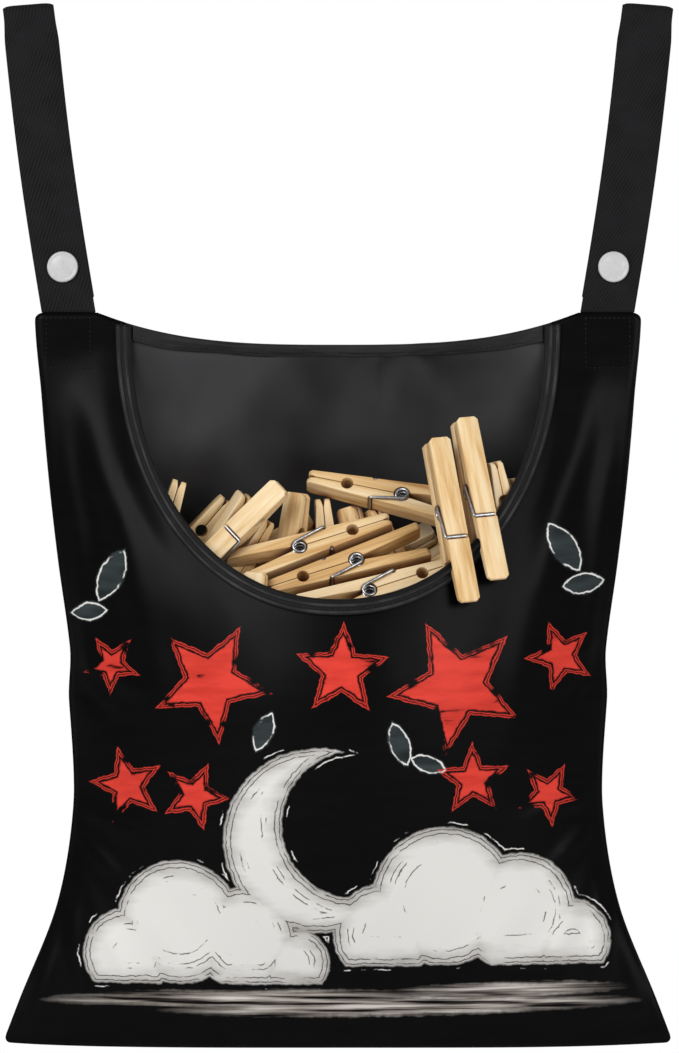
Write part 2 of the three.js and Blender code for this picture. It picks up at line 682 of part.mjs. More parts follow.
function inMouth(x, drop) {
  const across = Math.abs(x / MOUTH_HALF) ** MOUTH_SQUARE;
  const down = Math.max(0, (drop - topDrop(MOUTH_HALF)) / MOUTH_DEPTH) ** MOUTH_SQUARE;
  return across + down < 1;
}

// A peg fits where all its corners are before the back panel, and behind the front panel or in the mouth
function fitsInBag(place) {
  const wide = ARM_SIDE + WIRE / 2;
  const corners = [-JAW, HANDLE].flatMap((z) => [-1, 1].flatMap((side) =>
    [-wide, wide].map((x) => new THREE.Vector3(x, side * leverFace(z), z).applyMatrix4(place))));
  return corners.every(({ x, y, z }) => {
    const drop = -STRAP_DROP - z;
    const behindFront = inMouth(x, drop) || y > frontInside(x, drop) + BINDING_THICK;
    return behindFront && y < backInside(x, drop) - PILE_CLEAR;
  });
}

// Rows of pegs on the slope, every other one turned end for end so that they nest, and one peg askew
function heapPlaces(up) {
  const spot = new THREE.Vector2(HEAP_MIDDLE, up);
  const along = new THREE.Vector2(Math.cos(HEAP_TURN), Math.sin(HEAP_TURN));
  const onward = new THREE.Vector2(-along.y, along.x);
  const rows = Array.from({ length: HEAP_ROWS }, (_, row) => {
    const flip = row % 2 ? -1 : 1;
    if (row > 0) {
      const wedge = Math.tan(LEVER_FLARE) * (JAW - HANDLE + flip * HEAP_STAGGER);
      spot.addScaledVector(along, -HEAP_STAGGER).addScaledVector(onward, 2 * LEVER_THICK + ROW_GAP - wedge);
    }
    return heapPlace({ across: spot.x, up: spot.y, turn: HEAP_TURN, flip });
  });
  return [...rows, heapPlace({
    across: CROSS_PEG_ACROSS, up: up + CROSS_PEG_ABOVE, turn: CROSS_PEG_TURN, flip: -1 })];
}

// The pegs lie higher where one of them would run into the cloth
function heapPegs() {
  const group = new THREE.Group();
  let up = HEAP_UP;
  while (up < PEG_LENGTH && !heapPlaces(up).every(fitsInBag)) {
    up += TOUCH;
  }
  heapPlaces(up).forEach((place, i) => {
    group.add(placed(peg(`heap_peg_${i + 1}`, 0), place));
  });
  return group;
}

function bag() {
  const group = new THREE.Group();
  group.position.y = HEM_Y;
  group.add(
    frontPanel(), backPanel(), mouthBinding(), topHem(),
    strapTail('left_strap_tail', -1), strapTail('right_strap_tail', 1),
    boxStitch('left_box_stitch', -1), boxStitch('right_box_stitch', 1),
    lowerPegs(), heapPegs(),
    ...RIM_PLACES.map((place, i) => placed(peg(`rim_peg_${i + 1}`, RIM_OPENS[i]), place)),
  );
  return group;
}

const pegBag = new THREE.Group();
pegBag.add(strap('left', -1), strap('right', 1), bag());

export default pegBag;
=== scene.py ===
"""Peg bag: cloth, webbing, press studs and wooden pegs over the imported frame, in millimetres until MM."""

import math
import random

import bmesh
import bpy
from mathutils import Matrix, Vector, noise
from mathutils.bvhtree import BVHTree


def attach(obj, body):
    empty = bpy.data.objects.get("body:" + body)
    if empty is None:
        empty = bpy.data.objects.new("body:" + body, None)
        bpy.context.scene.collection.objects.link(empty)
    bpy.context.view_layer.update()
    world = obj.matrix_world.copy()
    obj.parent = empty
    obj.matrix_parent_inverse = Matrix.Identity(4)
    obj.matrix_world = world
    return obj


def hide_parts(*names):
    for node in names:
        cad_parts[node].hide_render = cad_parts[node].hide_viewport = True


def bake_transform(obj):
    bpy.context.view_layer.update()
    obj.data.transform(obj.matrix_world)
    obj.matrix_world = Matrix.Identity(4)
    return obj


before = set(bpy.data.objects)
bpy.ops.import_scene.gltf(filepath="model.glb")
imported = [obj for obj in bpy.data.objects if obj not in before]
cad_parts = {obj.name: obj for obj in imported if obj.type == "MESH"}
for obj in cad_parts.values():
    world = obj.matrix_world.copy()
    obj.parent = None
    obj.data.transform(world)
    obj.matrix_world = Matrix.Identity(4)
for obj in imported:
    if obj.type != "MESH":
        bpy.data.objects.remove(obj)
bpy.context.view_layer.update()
MM = 0.001

# Straps and studs, as in the frame
WEB_WIDTH, WEB_THICK, LOOP_RADIUS = 27, 1.6, 2.4
STRAP_DROP, STRAP_OUT_TOP, STRAP_OUT_HEM = 147.5, 154.5, 134.75
FLAP_SHORT, TAIL_LENGTH = 5.5, 30
STUD_DROP, CAP_RADIUS, CAP_RISE = 125.5, 7.75, 2

# Bag, as in the frame
TOUCH, CLOTH = 0.3, 0.8
BAG_HEIGHT, TOP_HALF, WAIST_HALF, BOTTOM_HALF = 368, 151.5, 132, 167.5
WAIST_DROP, FLARE, TOP_DIP, DIP_HALF, YOKE = 240, 1.55, 16, 120, 22
FRONT_BULGE, BACK_BULGE, BACK_FLAT, SEAM_FADE = 64, 52, 38, 40
MOUTH_HALF, MOUTH_DEPTH, MOUTH_SQUARE = 103.5, 136.6, 2.15
BINDING_FIT, TAPE, BINDING_WIDTH, HEM_WIDTH = 0.55, 0.5, 6.5, 9
STITCH_MARGIN, PILE_CLEAR = 2.5, 1.1

# Pegs, as in the frame
PEG_WIDTH, HANDLE, JAW, LEVER_THICK, HANDLE_THICK = 11, 36, 48, 7.2, 4.2
LEVER_FLARE = math.radians(4.5)
JAW_CHAMFER, NOTCH_DROP, NOTCH_RADIUS = 4, 28, 3
WIRE, COIL_RADIUS, CURLS, ARM_DROP, WIRE_END = 1.5, 3, 4, 15, 1.5
RIM_PEG_TURN, RIM_PEG_GAP, RIM_PEG_LEAN = 0.682, 4, math.radians(10)
RIM_GRIPS, GRIP_CLEAR = (20, 15), 0.45
HEAP_SLOPE, HEAP_SINK, HEAP_TURN = math.radians(60), 22, math.radians(20)
HEAP_MIDDLE, HEAP_UP, HEAP_ROWS, HEAP_STAGGER, ROW_GAP = 21, 34, 3, 12, 4
CROSS_PEG_ACROSS, CROSS_PEG_ABOVE, CROSS_PEG_TURN = 26, 54, math.radians(-13)

# Dressing that the frame doesn't have
BINDING_GROOVE = 3.4  # from the fold round the cloth's edge to the sewn groove
SEWN_RISE = 0.25  # the panels' top edges come this far above the frame's, up to the ends of the webbing
HEM_THICK = 0.6
HEM_SHARE = 0.11  # of the columns in the front's grid, on each side of the mouth
WOOD_TONES, LEVER_TONES = 0.24, 0.03  # differences in paleness between pegs and between a peg's levers

# Derived sizes
STRAP_LEAN = math.atan2(STRAP_OUT_TOP - STRAP_OUT_HEM, STRAP_DROP)
ALONG_STRAP = 1 / math.cos(STRAP_LEAN)
WEB_MIDDLE = LOOP_RADIUS + WEB_THICK / 2
HEM_Y = -WEB_MIDDLE
HEM_GAP = WEB_THICK / 2 + TOUCH
TAIL_ROOM = WEB_THICK + 2 * TOUCH
CAP_FACE = LOOP_RADIUS + WEB_THICK + TOUCH
BINDING_THICK = CLOTH + 2 * (TAPE + BINDING_FIT)
ARM_SIDE = PEG_WIDTH / 2 + TOUCH + WIRE / 2
PEG_REST = ARM_SIDE + WIRE / 2 + TOUCH
GROOVE_RADIUS = COIL_RADIUS + WIRE / 2 + TOUCH
PEG_LENGTH = HANDLE + JAW


def blend_in(low, high, value):
    share = min(max((value - low) / (high - low), 0), 1)
    return share * share * (3 - 2 * share)


def mix(a, b, share):
    return a + (b - a) * share


# Materials
def linear(code):
    channels = [int(code[i:i + 2], 16) / 255 for i in (1, 3, 5)]
    return [c / 12.92 if c <= 0.04045 else ((c + 0.055) / 1.055) ** 2.4 for c in channels] + [1]


def connect(tree, node, inputs):
    for socket, value in inputs.items():
        if isinstance(value, bpy.types.NodeSocket):
            tree.links.new(value, node.inputs[socket])
        else:
            node.inputs[socket].default_value = value


def add(tree, kind, inputs=None, output=0, **settings):
    # Adds a node with its settings and links, and gives one of its outputs
    made = tree.nodes.new("ShaderNode" + kind)
    for name, value in settings.items():
        setattr(made, name, value)
    connect(tree, made, inputs or {})
    return made.outputs[output]


def material(name):
    made = bpy.data.materials.new(name)
    made.use_nodes = True
    return made, made.node_tree, made.node_tree.nodes["Principled BSDF"]


def cloth_material(name):
    # A material whose threads and print follow the flat cut of a sheet
    made, tree, shader = material(name)
    return made, tree, shader, add(tree, "UVMap", uv_map="cut")


def per_metre(size):
    # How often a pattern of this size in millimetres comes in a metre, to two figures
    return float(f"{1 / (size * MM):.2g}")


def shades(tree, factor, *stops):
    made = add(tree, "ValToRGB", {"Fac": factor}).node
    while len(made.color_ramp.elements) < len(stops):
        made.color_ramp.elements.new(0.5)
    for element, (place, code) in zip(made.color_ramp.elements, stops):
        element.position = place
        element.color = linear(code)
    return made.outputs["Color"]


def patchy(tree, place, size, detail=2.0):
    # Noise in patches of this size in millimetres
    return add(tree, "TexNoise", {"Vector": place, "Scale": per_metre(size), "Detail": detail}, output="Fac")


def stretched(tree, place, sizes, detail, turn=0.0, roughness=0.5):
    # Noise in patches of these sizes in millimetres along X, Y and Z
    scale = [per_metre(size) for size in sizes]
    along = add(tree, "Mapping", {"Vector": place, "Scale": scale, "Rotation": (0, 0, turn)})
    grain = {"Vector": along, "Scale": 1.0, "Detail": detail, "Roughness": roughness}
    return add(tree, "TexNoise", grain, output="Fac")


def calc(tree, way, *values):
    return add(tree, "Math", dict(enumerate(values)), operation=way)


def combine(tree, values, way="MINIMUM"):
    # The distances to several patches of ink as one, or other values taken together
    total = values[0]
    for value in values[1:]:
        total = calc(tree, way, total, value)
    return total


def weave_height(tree, uv, pitch, slant, ways="XY"):
    # One set of threads, or two crossing at right angles, each a row of soft ridges
    turned = add(tree, "Mapping", {"Vector": uv, "Rotation": (0, 0, slant)})
    spacing = 2 * math.pi / 20  # of the bands at a scale of 1
    rows = {"Vector": turned, "Scale": spacing / (pitch * MM), "Distortion": 0.4, "Detail": 1.0,
            "Detail Scale": 2.0}
    ridges = [add(tree, "TexWave", rows, wave_type="BANDS", bands_direction=way, output="Fac")
              for way in ways]
    return combine(tree, ridges, "MULTIPLY")


def fine_weave(tree, uv):
    # The real threads are 0.25 mm apart; they are drawn at 0.9 mm so that they show
    height = weave_height(tree, uv, 0.9, 0.0)
    return add(tree, "Bump", {"Height": height, "Strength": 0.2, "Distance": 0.05 * MM})


def circle(tree, point, x, y, radius):
    # Distance outside a round patch of ink, in metres
    middle = (x * MM, y * MM, 0)
    far = add(tree, "VectorMath", {0: point, 1: middle}, operation="DISTANCE", output="Value")
    return calc(tree, "SUBTRACT", far, radius * MM)


def moon(tree, point, x, y, radius):
    # A disc with a smaller disc bitten out of its upper right
    disc = circle(tree, point, x, y, radius)
    bite = circle(tree, point, x + 0.42 * radius, y - 0.18 * radius, 0.8 * radius)
    outside = calc(tree, "MULTIPLY", bite, -1.0)
    return calc(tree, "MAXIMUM", disc, outside)


def cloud(tree, point, x, y, size):
    # A low heap of puffs, cut level underneath; across, down and radius are shares of its size
    puffs = [(-0.62, 0.06, 0.36), (-0.2, -0.2, 0.5), (0.32, -0.08, 0.42), (0.72, 0.12, 0.28)]
    base = 0.3
    heap = combine(tree, [circle(tree, point, x + size * u, y + size * v, size * r) for u, v, r in puffs])
    below = add(tree, "SeparateXYZ", {0: point}, output="Y")
    level = calc(tree, "SUBTRACT", below, (y + base * size) * MM)
    return calc(tree, "MAXIMUM", heap, level)


def local_point(tree, point, x, y, turn):
    shift, spin = (x * MM, y * MM, 0), (0, 0, math.radians(turn))
    return add(tree, "Mapping", {"Vector": point, "Location": shift, "Rotation": spin}, vector_type="TEXTURE")


def star(tree, point, x, y, radius, turn):
    # Distance outside a star of five points, worked out in one half of a point
    near = local_point(tree, point, x, y, turn)
    parts = add(tree, "SeparateXYZ", {0: near}).node
    half_point, hollow = math.pi / 5, 0.45
    lean = math.atan2(1 - hollow * math.cos(half_point), hollow * math.sin(half_point))
    angle = calc(tree, "ARCTAN2", parts.outputs["Y"], parts.outputs["X"])
    folded = calc(tree, "PINGPONG", angle, half_point)
    swung = calc(tree, "SUBTRACT", folded, lean)
    towards = calc(tree, "COSINE", swung)
    far = add(tree, "VectorMath", {0: near}, operation="LENGTH", output="Value")
    return calc(tree, "MULTIPLY_ADD", far, towards, -radius * math.cos(lean) * MM)


def leaf(tree, point, x, y, length, turn):
    # Two arcs that meet in points
    near = local_point(tree, point, x, y, turn)
    aside, radius = 0.42 * length, 0.65 * length
    arcs = [circle(tree, near, 0, side * aside, radius) for side in (-1, 1)]
    return combine(tree, arcs, "MAXIMUM")


def brush(tree, point, x, y, length, width):
    # A long stroke of a dry brush, thinning out at both ends
    near = local_point(tree, point, x, y, -1)
    squeeze = (2 * width / length, 2, 0)
    squeezed = add(tree, "VectorMath", {0: near, 1: squeeze}, operation="MULTIPLY")
    return circle(tree, squeezed, 0, 0, width)


# Motifs of the print: across, below the hem, size in mm, then degrees of turn or the stroke's width
RED_STARS = [(-62, 184, 24, 10), (2, 178, 17, -16), (58, 186, 28, 28), (-104, 236, 13, 40), (-70, 240, 11, 4),
             (66, 232, 12, -20), (104, 240, 10, 12), (110, 172, 12, 33), (-112, 176, 9, 20)]
GREY_LEAVES = [(112, 118, 30, 55), (122, 136, 24, -8), (-112, 132, 30, 118), (-124, 150, 22, 175),
               (30, 214, 24, 70), (44, 224, 20, 20), (-36, 208, 22, 112)]
CLOUDS, MOON = [(-66, 316, 62), (66, 304, 70)], (-10, 262, 46)
GROUND_STROKES = [(-50, 342, 150, 8), (30, 346, 190, 9), (84, 338, 90, 7)]
BLACK_CLOTH = [(0.3, "#020203"), (0.7, "#050506")]


def above(tree, value, low, high):
    # 0 up to the low value, 1 from the high one on
    return add(tree, "MapRange", {"Value": value, "From Min": low, "From Max": high}, clamp=True)


def ink(tree, distance, edge):
    # 1 inside a printed patch, with an edge as soft as the print's
    return above(tree, distance, edge * MM, -edge * MM)


def drawn_line(tree, distance, offset, half, gaps):
    # 1 along a thin line drawn beside a printed edge, broken where the pen skipped
    aside = calc(tree, "SUBTRACT", distance, offset * MM)
    apart = calc(tree, "ABSOLUTE", aside)
    line = calc(tree, "SUBTRACT", apart, half * MM)
    return calc(tree, "MULTIPLY", ink(tree, line, 0.2), gaps)


def printed(tree, under, over, cover):
    return add(tree, "Mix", {"Factor": cover, "A": under, "B": over}, data_type="RGBA", output="Result")


def hand_drawn(tree, uv):
    # Points of the cut moved a little to and fro, which roughens the edges of the print
    wobble = add(tree, "TexNoise", {"Vector": uv, "Scale": per_metre(3.8), "Detail": 3.0}, output="Color")
    half, reach = (0.5, 0.5, 0.5), 2.2 * MM
    centred = add(tree, "VectorMath", {0: wobble, 1: half}, operation="SUBTRACT")
    brushed = add(tree, "VectorMath", {0: centred, 1: (reach, reach, 0), 2: uv}, operation="MULTIPLY_ADD")
    return add(tree, "VectorMath", {0: brushed, 1: (1, 1, 0)}, operation="MULTIPLY")


def night_sky(tree, uv):
    # The cloth's black with the print laid over it: ground, leaves, clouds and moon, and stars last
    flat = hand_drawn(tree, uv)
    strokes = stretched(tree, uv, (25, 5.9, 25), 4.0, turn=0.5)
    skips = patchy(tree, uv, 14.3, 4.0)
    gaps = above(tree, skips, 0.4, 0.46)
    rare = above(tree, skips, 0.56, 0.6)
    dry = above(tree, strokes, 0.3, 0.36)
    swept = stretched(tree, uv, (62, 2.4, 62), 3.0)
    pale = combine(tree, [cloud(tree, flat, *spot) for spot in CLOUDS] + [moon(tree, flat, *MOON)])
    red = combine(tree, [star(tree, flat, *spot) for spot in RED_STARS])
    grey = combine(tree, [leaf(tree, flat, *spot) for spot in GREY_LEAVES])
    ground = combine(tree, [brush(tree, flat, *spot) for spot in GROUND_STROKES])
    inside = above(tree, pale, 0.0, -16 * MM)
    shaded = calc(tree, "MULTIPLY_ADD", strokes, 0.8, inside)
    chalk = shades(tree, shaded, (0.25, "#97948F"), (0.5, "#BBB8B4"), (0.8, "#D6D4D0"), (1.0, "#E2E0DC"))
    brick = shades(tree, strokes, (0.3, "#C0342A"), (0.6, "#DE4236"))
    slate = shades(tree, strokes, (0.3, "#1F2526"), (0.7, "#3C4445"))
    earth = shades(tree, swept, (0.4, "#3A3430"), (0.52, "#8F8780"), (0.66, "#D2CCC6"))
    pen, chalk_line, red_line = linear("#2B2A29"), linear("#E6E4E0"), linear("#CF3B30")
    swept_ground = calc(tree, "MINIMUM", ink(tree, ground, 2.5), above(tree, swept, 0.36, 0.46))
    colour = printed(tree, shades(tree, strokes, *BLACK_CLOTH), earth, swept_ground)
    colour = printed(tree, colour, slate, ink(tree, grey, 0.5))
    colour = printed(tree, colour, chalk_line, drawn_line(tree, grey, -0.8, 0.35, gaps))
    colour = printed(tree, colour, chalk, ink(tree, pale, 0.5))
    for offset, ends in ((-1.2, gaps), (-3.4, gaps), (-7.5, rare), (-10, rare), (-15, rare)):
        colour = printed(tree, colour, pen, drawn_line(tree, pale, offset, 0.22, ends))
    colour = printed(tree, colour, chalk_line, drawn_line(tree, pale, 2.2, 0.25, rare))
    colour = printed(tree, colour, brick, calc(tree, "MINIMUM", ink(tree, red, 0.4), dry))
    for offset in (1.3, 2.3):
        colour = printed(tree, colour, red_line, drawn_line(tree, red, offset, 0.25, gaps))
    return colour


def satin_face(tree, shader, uv, colour):
    connect(tree, shader, {"Base Color": colour, "Roughness": 0.36, "Specular IOR Level": 0.07,
                           "Normal": fine_weave(tree, uv)})


def printed_polyester():
    # Black satin-faced polyester with a loose, brushed night-sky print, all under one soft sheen
    made, tree, shader, uv = cloth_material("printed_polyester")
    satin_face(tree, shader, uv, night_sky(tree, uv))
    return made


def plain_polyester():
    # The same black satin without print, for the back of the bag
    made, tree, shader, uv = cloth_material("plain_polyester")
    satin_face(tree, shader, uv, shades(tree, patchy(tree, uv, 25, 4.0), *BLACK_CLOTH))
    return made


def unprinted_polyester(name, dark, light):
    # The cloth's unprinted side: charcoal satin, its colour wandering in broad soft patches of painted sheen
    made, tree, shader, uv = cloth_material(name)
    # Painted sheen: broad paler and darker patches in the charcoal colour
    colour = shades(tree, patchy(tree, uv, 70), (0.36, dark), (0.62, light))
    connect(tree, shader, {"Base Color": colour, "Roughness": 0.44, "Specular IOR Level": 0.26,
                           "Normal": fine_weave(tree, uv)})
    return made


def on_ridges(tree, uv):
    # 1 on the two long ridges of the binding's front and 0 in the sewn groove between them
    across = add(tree, "SeparateXYZ", {0: uv}, output="Y")
    groove = (BINDING_WIDTH - BINDING_GROOVE) * MM
    from_groove = calc(tree, "SUBTRACT", across, groove)
    angle = calc(tree, "MULTIPLY", from_groove, math.pi / (BINDING_GROOVE * MM))
    swing = calc(tree, "SINE", angle)
    return calc(tree, "MULTIPLY", swing, swing)


def woven_tape(name, dark, light, pitch, slant, ways, roughness, ridged=False):
    # Polyester tape: ribs of thread, with painted shade in the gaps and a faint painted highlight on top
    made, tree, shader, uv = cloth_material(name)
    height = weave_height(tree, uv, pitch, slant, ways)
    # Painted highlight and shade: the weave's height makes the ribs' tops paler and the gaps darker, over a
    # patchy tone
    tone = calc(tree, "MULTIPLY_ADD", height, 0.5, patchy(tree, uv, 16.7, 4.0))
    if ridged:
        # Painted sheen makes the ridges pale and painted shade keeps the sewn groove dark
        painted_ridge_sheen = above(tree, on_ridges(tree, uv), -0.1, 1.1)
        tone = calc(tree, "MULTIPLY", tone, painted_ridge_sheen)
    bump = add(tree, "Bump", {"Height": height, "Strength": 0.4, "Distance": 0.1 * MM})
    connect(tree, shader, {"Base Color": shades(tree, tone, (0.4, dark), (0.9, light)),
                           "Roughness": roughness, "Specular IOR Level": 0.12, "Normal": bump})
    return made


def mottled(name, size, dark, light, finish):
    # A solid that wanders between two shades, in patches of this size in millimetres
    made, tree, shader = material(name)
    patches = patchy(tree, add(tree, "TexCoord", output="Object"), size)
    connect(tree, shader, {"Base Color": shades(tree, patches, (0.3, dark), (0.7, light)), **finish})
    return made


def birch():
    # Sawn birch: pale straw wood, brown grain along each lever, and painted shade that darkens it brown in
    # corners and between pegs;
    # the fibres are drawn about 1 mm wide, coarser than they are, so that they show
    made, tree, shader = material("birch")
    place = add(tree, "Attribute", attribute_name="grain", output="Vector")
    tone = add(tree, "Attribute", attribute_name="tone", output="Fac")
    fibres = stretched(tree, place, (1.11, 1.11, 36), 5.0, roughness=0.6)
    bands = stretched(tree, place, (3.8, 3.8, 111), 2.0)
    both = calc(tree, "MULTIPLY_ADD", fibres, 0.4, bands)
    shade = calc(tree, "ADD", both, tone)
    wood = shades(tree, shade, (0.35, "#BC8A52"), (0.55, "#DAB074"), (0.72, "#EBCB98"), (0.95, "#F5DEB6"))
    # Painted shade: ambient occlusion turns the wood brown in corners, crevices and the gaps between pegs
    shade_from_occlusion = add(tree, "AmbientOcclusion", {"Distance": 6 * MM}, samples=8, output="AO")
    corner = shades(tree, shade_from_occlusion, (0.25, "#8A5526"), (0.8, "#FFFFFF"))
    colour = add(tree, "Mix", {"Factor": 1.0, "A": wood, "B": corner}, data_type="RGBA",
                 blend_type="MULTIPLY", output="Result")
    bump = add(tree, "Bump", {"Height": fibres, "Strength": 0.25, "Distance": 0.2 * MM})
    connect(tree, shader, {"Base Color": colour, "Roughness": 0.55, "Normal": bump})
    return made


PRINTED = printed_polyester()
PLAIN = plain_polyester()
REVERSE = unprinted_polyester("polyester_reverse", "#161617", "#373739")
HEM = unprinted_polyester("hem_polyester", "#0B0B0C", "#212122")
BINDING = woven_tape("binding_tape", "#141415", "#48484A", 0.7, 0.0, "XY", 0.5, ridged=True)
WEBBING = woven_tape("polyester_webbing", "#09090A", "#1A1A1C", 1.6, math.radians(25), "X", 0.7)
# Twisted polyester thread: tight and nearly matt; its twist is drawn coarser than it is, so that it shows
THREAD = {"Roughness": 0.6, "Specular IOR Level": 0.1}
BLACK_THREAD = mottled("black_thread", 1.11, "#0E0E0F", "#28282A", THREAD)
GREY_THREAD = mottled("charcoal_thread", 1.11, "#1D1D20", "#303034", THREAD)
# Moulded acetal press stud: pale grey, satin on the dome, with a faint cloudiness
STUD = mottled("stud_resin", 2.4, "#BFBFC0", "#C8C8C9", {"Roughness": 0.32, "IOR": 1.48})
WOOD = birch()
# Zinc-plated spring wire: bright, with scratches from drawing it, coarser than they are so that they show
STEEL = mottled("spring_wire", 1.43, "#9A9CA0", "#D2D4D7", {"Metallic": 1.0, "Roughness": 0.28})


# Pieces
def linked(name, data):
    made = bpy.data.objects.new(name, data)
    bpy.context.collection.objects.link(made)
    return made


def piece(name, bm, materials, body, nodes=()):
    mesh = bpy.data.meshes.new(name)
    bm.to_mesh(mesh)
    bm.free()
    for finish in materials:
        mesh.materials.append(finish)
    for face in mesh.polygons:
        face.use_smooth = True
    made = linked(name, mesh)
    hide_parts(*nodes)
    if body:
        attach(made, body)
    return made


def sheet_of(columns, rows, place, cut, faces_front=False):
    # A grid laid out by place(u, v), with the flat cut's coordinates in metres as its map
    bm = bmesh.new()
    layer = bm.loops.layers.uv.new("cut")
    bmesh.ops.create_grid(bm, x_segments=columns, y_segments=rows, size=0.5)
    for vert in bm.verts:
        u, v = vert.co.x + 0.5, vert.co.y + 0.5
        for loop in vert.link_loops:
            loop[layer].uv = cut(u, v)
        vert.co = place(u, v)
    if faces_front:
        bmesh.ops.reverse_faces(bm, faces=bm.faces)
    return bm


def thicken(made, thickness, offset=0, inner=0, even=True):
    wall = made.modifiers.new("wall", "SOLIDIFY")
    wall.thickness = thickness * MM
    wall.offset = offset
    wall.use_even_offset = even
    wall.material_offset = inner


def stitching(name, points, colour, pitch, thread, nodes=()):
    # Short raised stitches spaced evenly along a line of points
    bm = bmesh.new()
    long, thick = 0.36 * pitch * MM, 0.5 * thread * MM
    size = Matrix.Diagonal((long, thick, thick, 1))
    spare = 0.0
    for start, end in zip(points, points[1:]):
        step = end - start
        turn = step.to_track_quat("X", "Z").to_matrix().to_4x4()
        while spare < step.length:
            place = Matrix.Translation(start + step * (spare / step.length))
            bmesh.ops.create_icosphere(bm, subdivisions=1, radius=1, matrix=place @ turn @ size)
            spare += pitch * MM
        spare -= step.length
    return piece(name, bm, [colour], "sewn_bag", nodes)


# Shape of the bag: drop is the height below the hem, y is measured from the plane of the side seams
def half_width(drop):
    if drop < WAIST_DROP:
        return mix(TOP_HALF, WAIST_HALF, (1 - math.cos(math.pi * drop / WAIST_DROP)) / 2)
    below = (drop - WAIST_DROP) / (BAG_HEIGHT - WAIST_DROP)
    return mix(WAIST_HALF, BOTTOM_HALF, below ** FLARE)


# How far the side seams lie out of the even outline, by their drop
SIDE_BUMPS = [(0, 0), (45, -1.9), (125, -1.2), (168, -2), (195, 0.8), (240, 0), (295, -1.5), (345, 1.5),
              (400, 0)]


def side_bump(drop):
    # The seams pucker a little in and out of the even outline
    for (high, before), (low, after) in zip(SIDE_BUMPS, SIDE_BUMPS[1:]):
        if drop <= low:
            return mix(before, after, blend_in(high, low, drop))
    return 0


def top_drop(x):
    return HEM_GAP + TOP_DIP * max(0, 1 - (abs(x) / DIP_HALF) ** 3)


def fullness(x, drop):
    down = min(max((drop - YOKE) / (BAG_HEIGHT - YOKE), 0), 1)
    across = min(max(x / half_width(drop), -1), 1)
    return math.sin(math.pi * down) * (1 - across ** 2)


def seam_offset(drop):
    start = TAIL_LENGTH + HEM_GAP
    return mix(TAIL_ROOM, TOUCH, blend_in(start, start + SEAM_FADE, drop)) / 2


def front_inside(x, drop):
    return -seam_offset(drop) - FRONT_BULGE * fullness(x, drop)


def back_inside(x, drop):
    return seam_offset(drop) + min(BACK_BULGE * fullness(x, drop), BACK_FLAT)


def on_bag(x, y, drop):
    return Vector((x, HEM_Y + y, -STRAP_DROP - drop)) * MM


def mouth_edge(share, offset):
    # A place along the mouth from left to right, and out from its edge by the offset
    def curve(s):
        angle = math.pi * min(max(s, 0), 1)
        power = 2 / MOUTH_SQUARE
        x = -MOUTH_HALF * math.copysign(abs(math.cos(angle)) ** power, math.cos(angle))
        return Vector((x, top_drop(MOUTH_HALF) + MOUTH_DEPTH * abs(math.sin(angle)) ** power))

    step = 1e-4
    along = (curve(share + step) - curve(share - step)).normalized()
    return curve(share) + Vector((-along.y, along.x)) * offset


def outside_mouth(x, drop):
    # Rough distance from the mouth's edge, out on the cloth
    across = abs(x / MOUTH_HALF) ** MOUTH_SQUARE
    down = max(0, (drop - top_drop(MOUTH_HALF)) / MOUTH_DEPTH) ** MOUTH_SQUARE
    return ((across + down) ** (1 / MOUTH_SQUARE) - 1) * MOUTH_DEPTH


def ridge(x, drop, start, end, width, height):
    # A soft fold along a straight line, highest in its middle and gone at its ends
    line = Vector(end) - Vector(start)
    spot = Vector((x, drop)) - Vector(start)
    share = spot.dot(line) / line.length_squared
    aside = abs(spot.x * line.y - spot.y * line.x) / line.length
    if not 0 < share < 1:
        return 0.0
    return height * math.sin(math.pi * share) * math.exp(-(aside / width) ** 2)


# Folds of both sides of the front, then of the left alone: from and to, width and height
FRONT_FOLDS = [
    ((129, 30), (98, 150), 8, 3.2), ((138, 40), (122, 230), 6, 1.5), ((108, 90), (78, 250), 10, 1.8),
    ((140, 165), (92, 186), 4, 1.6), ((139, 176), (104, 205), 3.5, -1.3), ((136, 240), (84, 262), 4.5, 1.7),
    ((136, 252), (98, 288), 4, 1.7), ((134, 262), (128, 350), 5, 2.0), ((134, 262), (96, 352), 6, 1.6),
    ((140, 285), (152, 360), 5, 1.8), ((100, 290), (40, 362), 9, 1.3),
]
LEFT_FOLDS = [((119, 15), (84, 165), 13, 3.0)]


def uneven(x, drop, wide, high, seed):
    # Chance between about -1 and 1, with swellings of this width and height
    return noise.noise((x / wide, drop / high, seed))


def front_folds(x, drop):
    # The folds wander a little, each side's in its own way
    side = 1 if x > 0 else -1
    wander, run, shift = 3, 45, 4
    far = abs(x) + wander * noise.noise((drop / run, 4.1 * side, 0.0))
    folds = FRONT_FOLDS if side > 0 else FRONT_FOLDS + LEFT_FOLDS
    height = sum(ridge(far, drop + shift * side, *fold) for fold in folds)
    height += 1.1 * uneven(x, drop, 60, 75, 2.0) + 0.35 * uneven(x, drop, 19, 26, 5.0)
    edge = blend_in(0, 12, half_width(drop) - abs(x)) * blend_in(0, 10, BAG_HEIGHT - drop)
    return height * edge * blend_in(4, 22, outside_mouth(x, drop)) * blend_in(2, 14, drop)


def clear_of_seams(x, drop):
    # 0 on the side and bottom seams, where the two panels meet, and 1 a little way in
    return blend_in(0, 3, min(half_width(drop) - abs(x), bottom_drop(x / half_width(drop)) - drop))


def front_skin(x, drop):
    return front_inside(x, drop) * clear_of_seams(x, drop) - front_folds(x, drop)


# A pinch under the hem with creases that spread from it, and a slack fold on the left
BACK_FOLDS = [((26, -6), (24, 50), 3.2, 3.4), ((20, -4), (2, 44), 4, 2.4), ((32, -4), (54, 46), 4, 2.8),
              ((-60, 20), (-92, 90), 6, 2.0)]


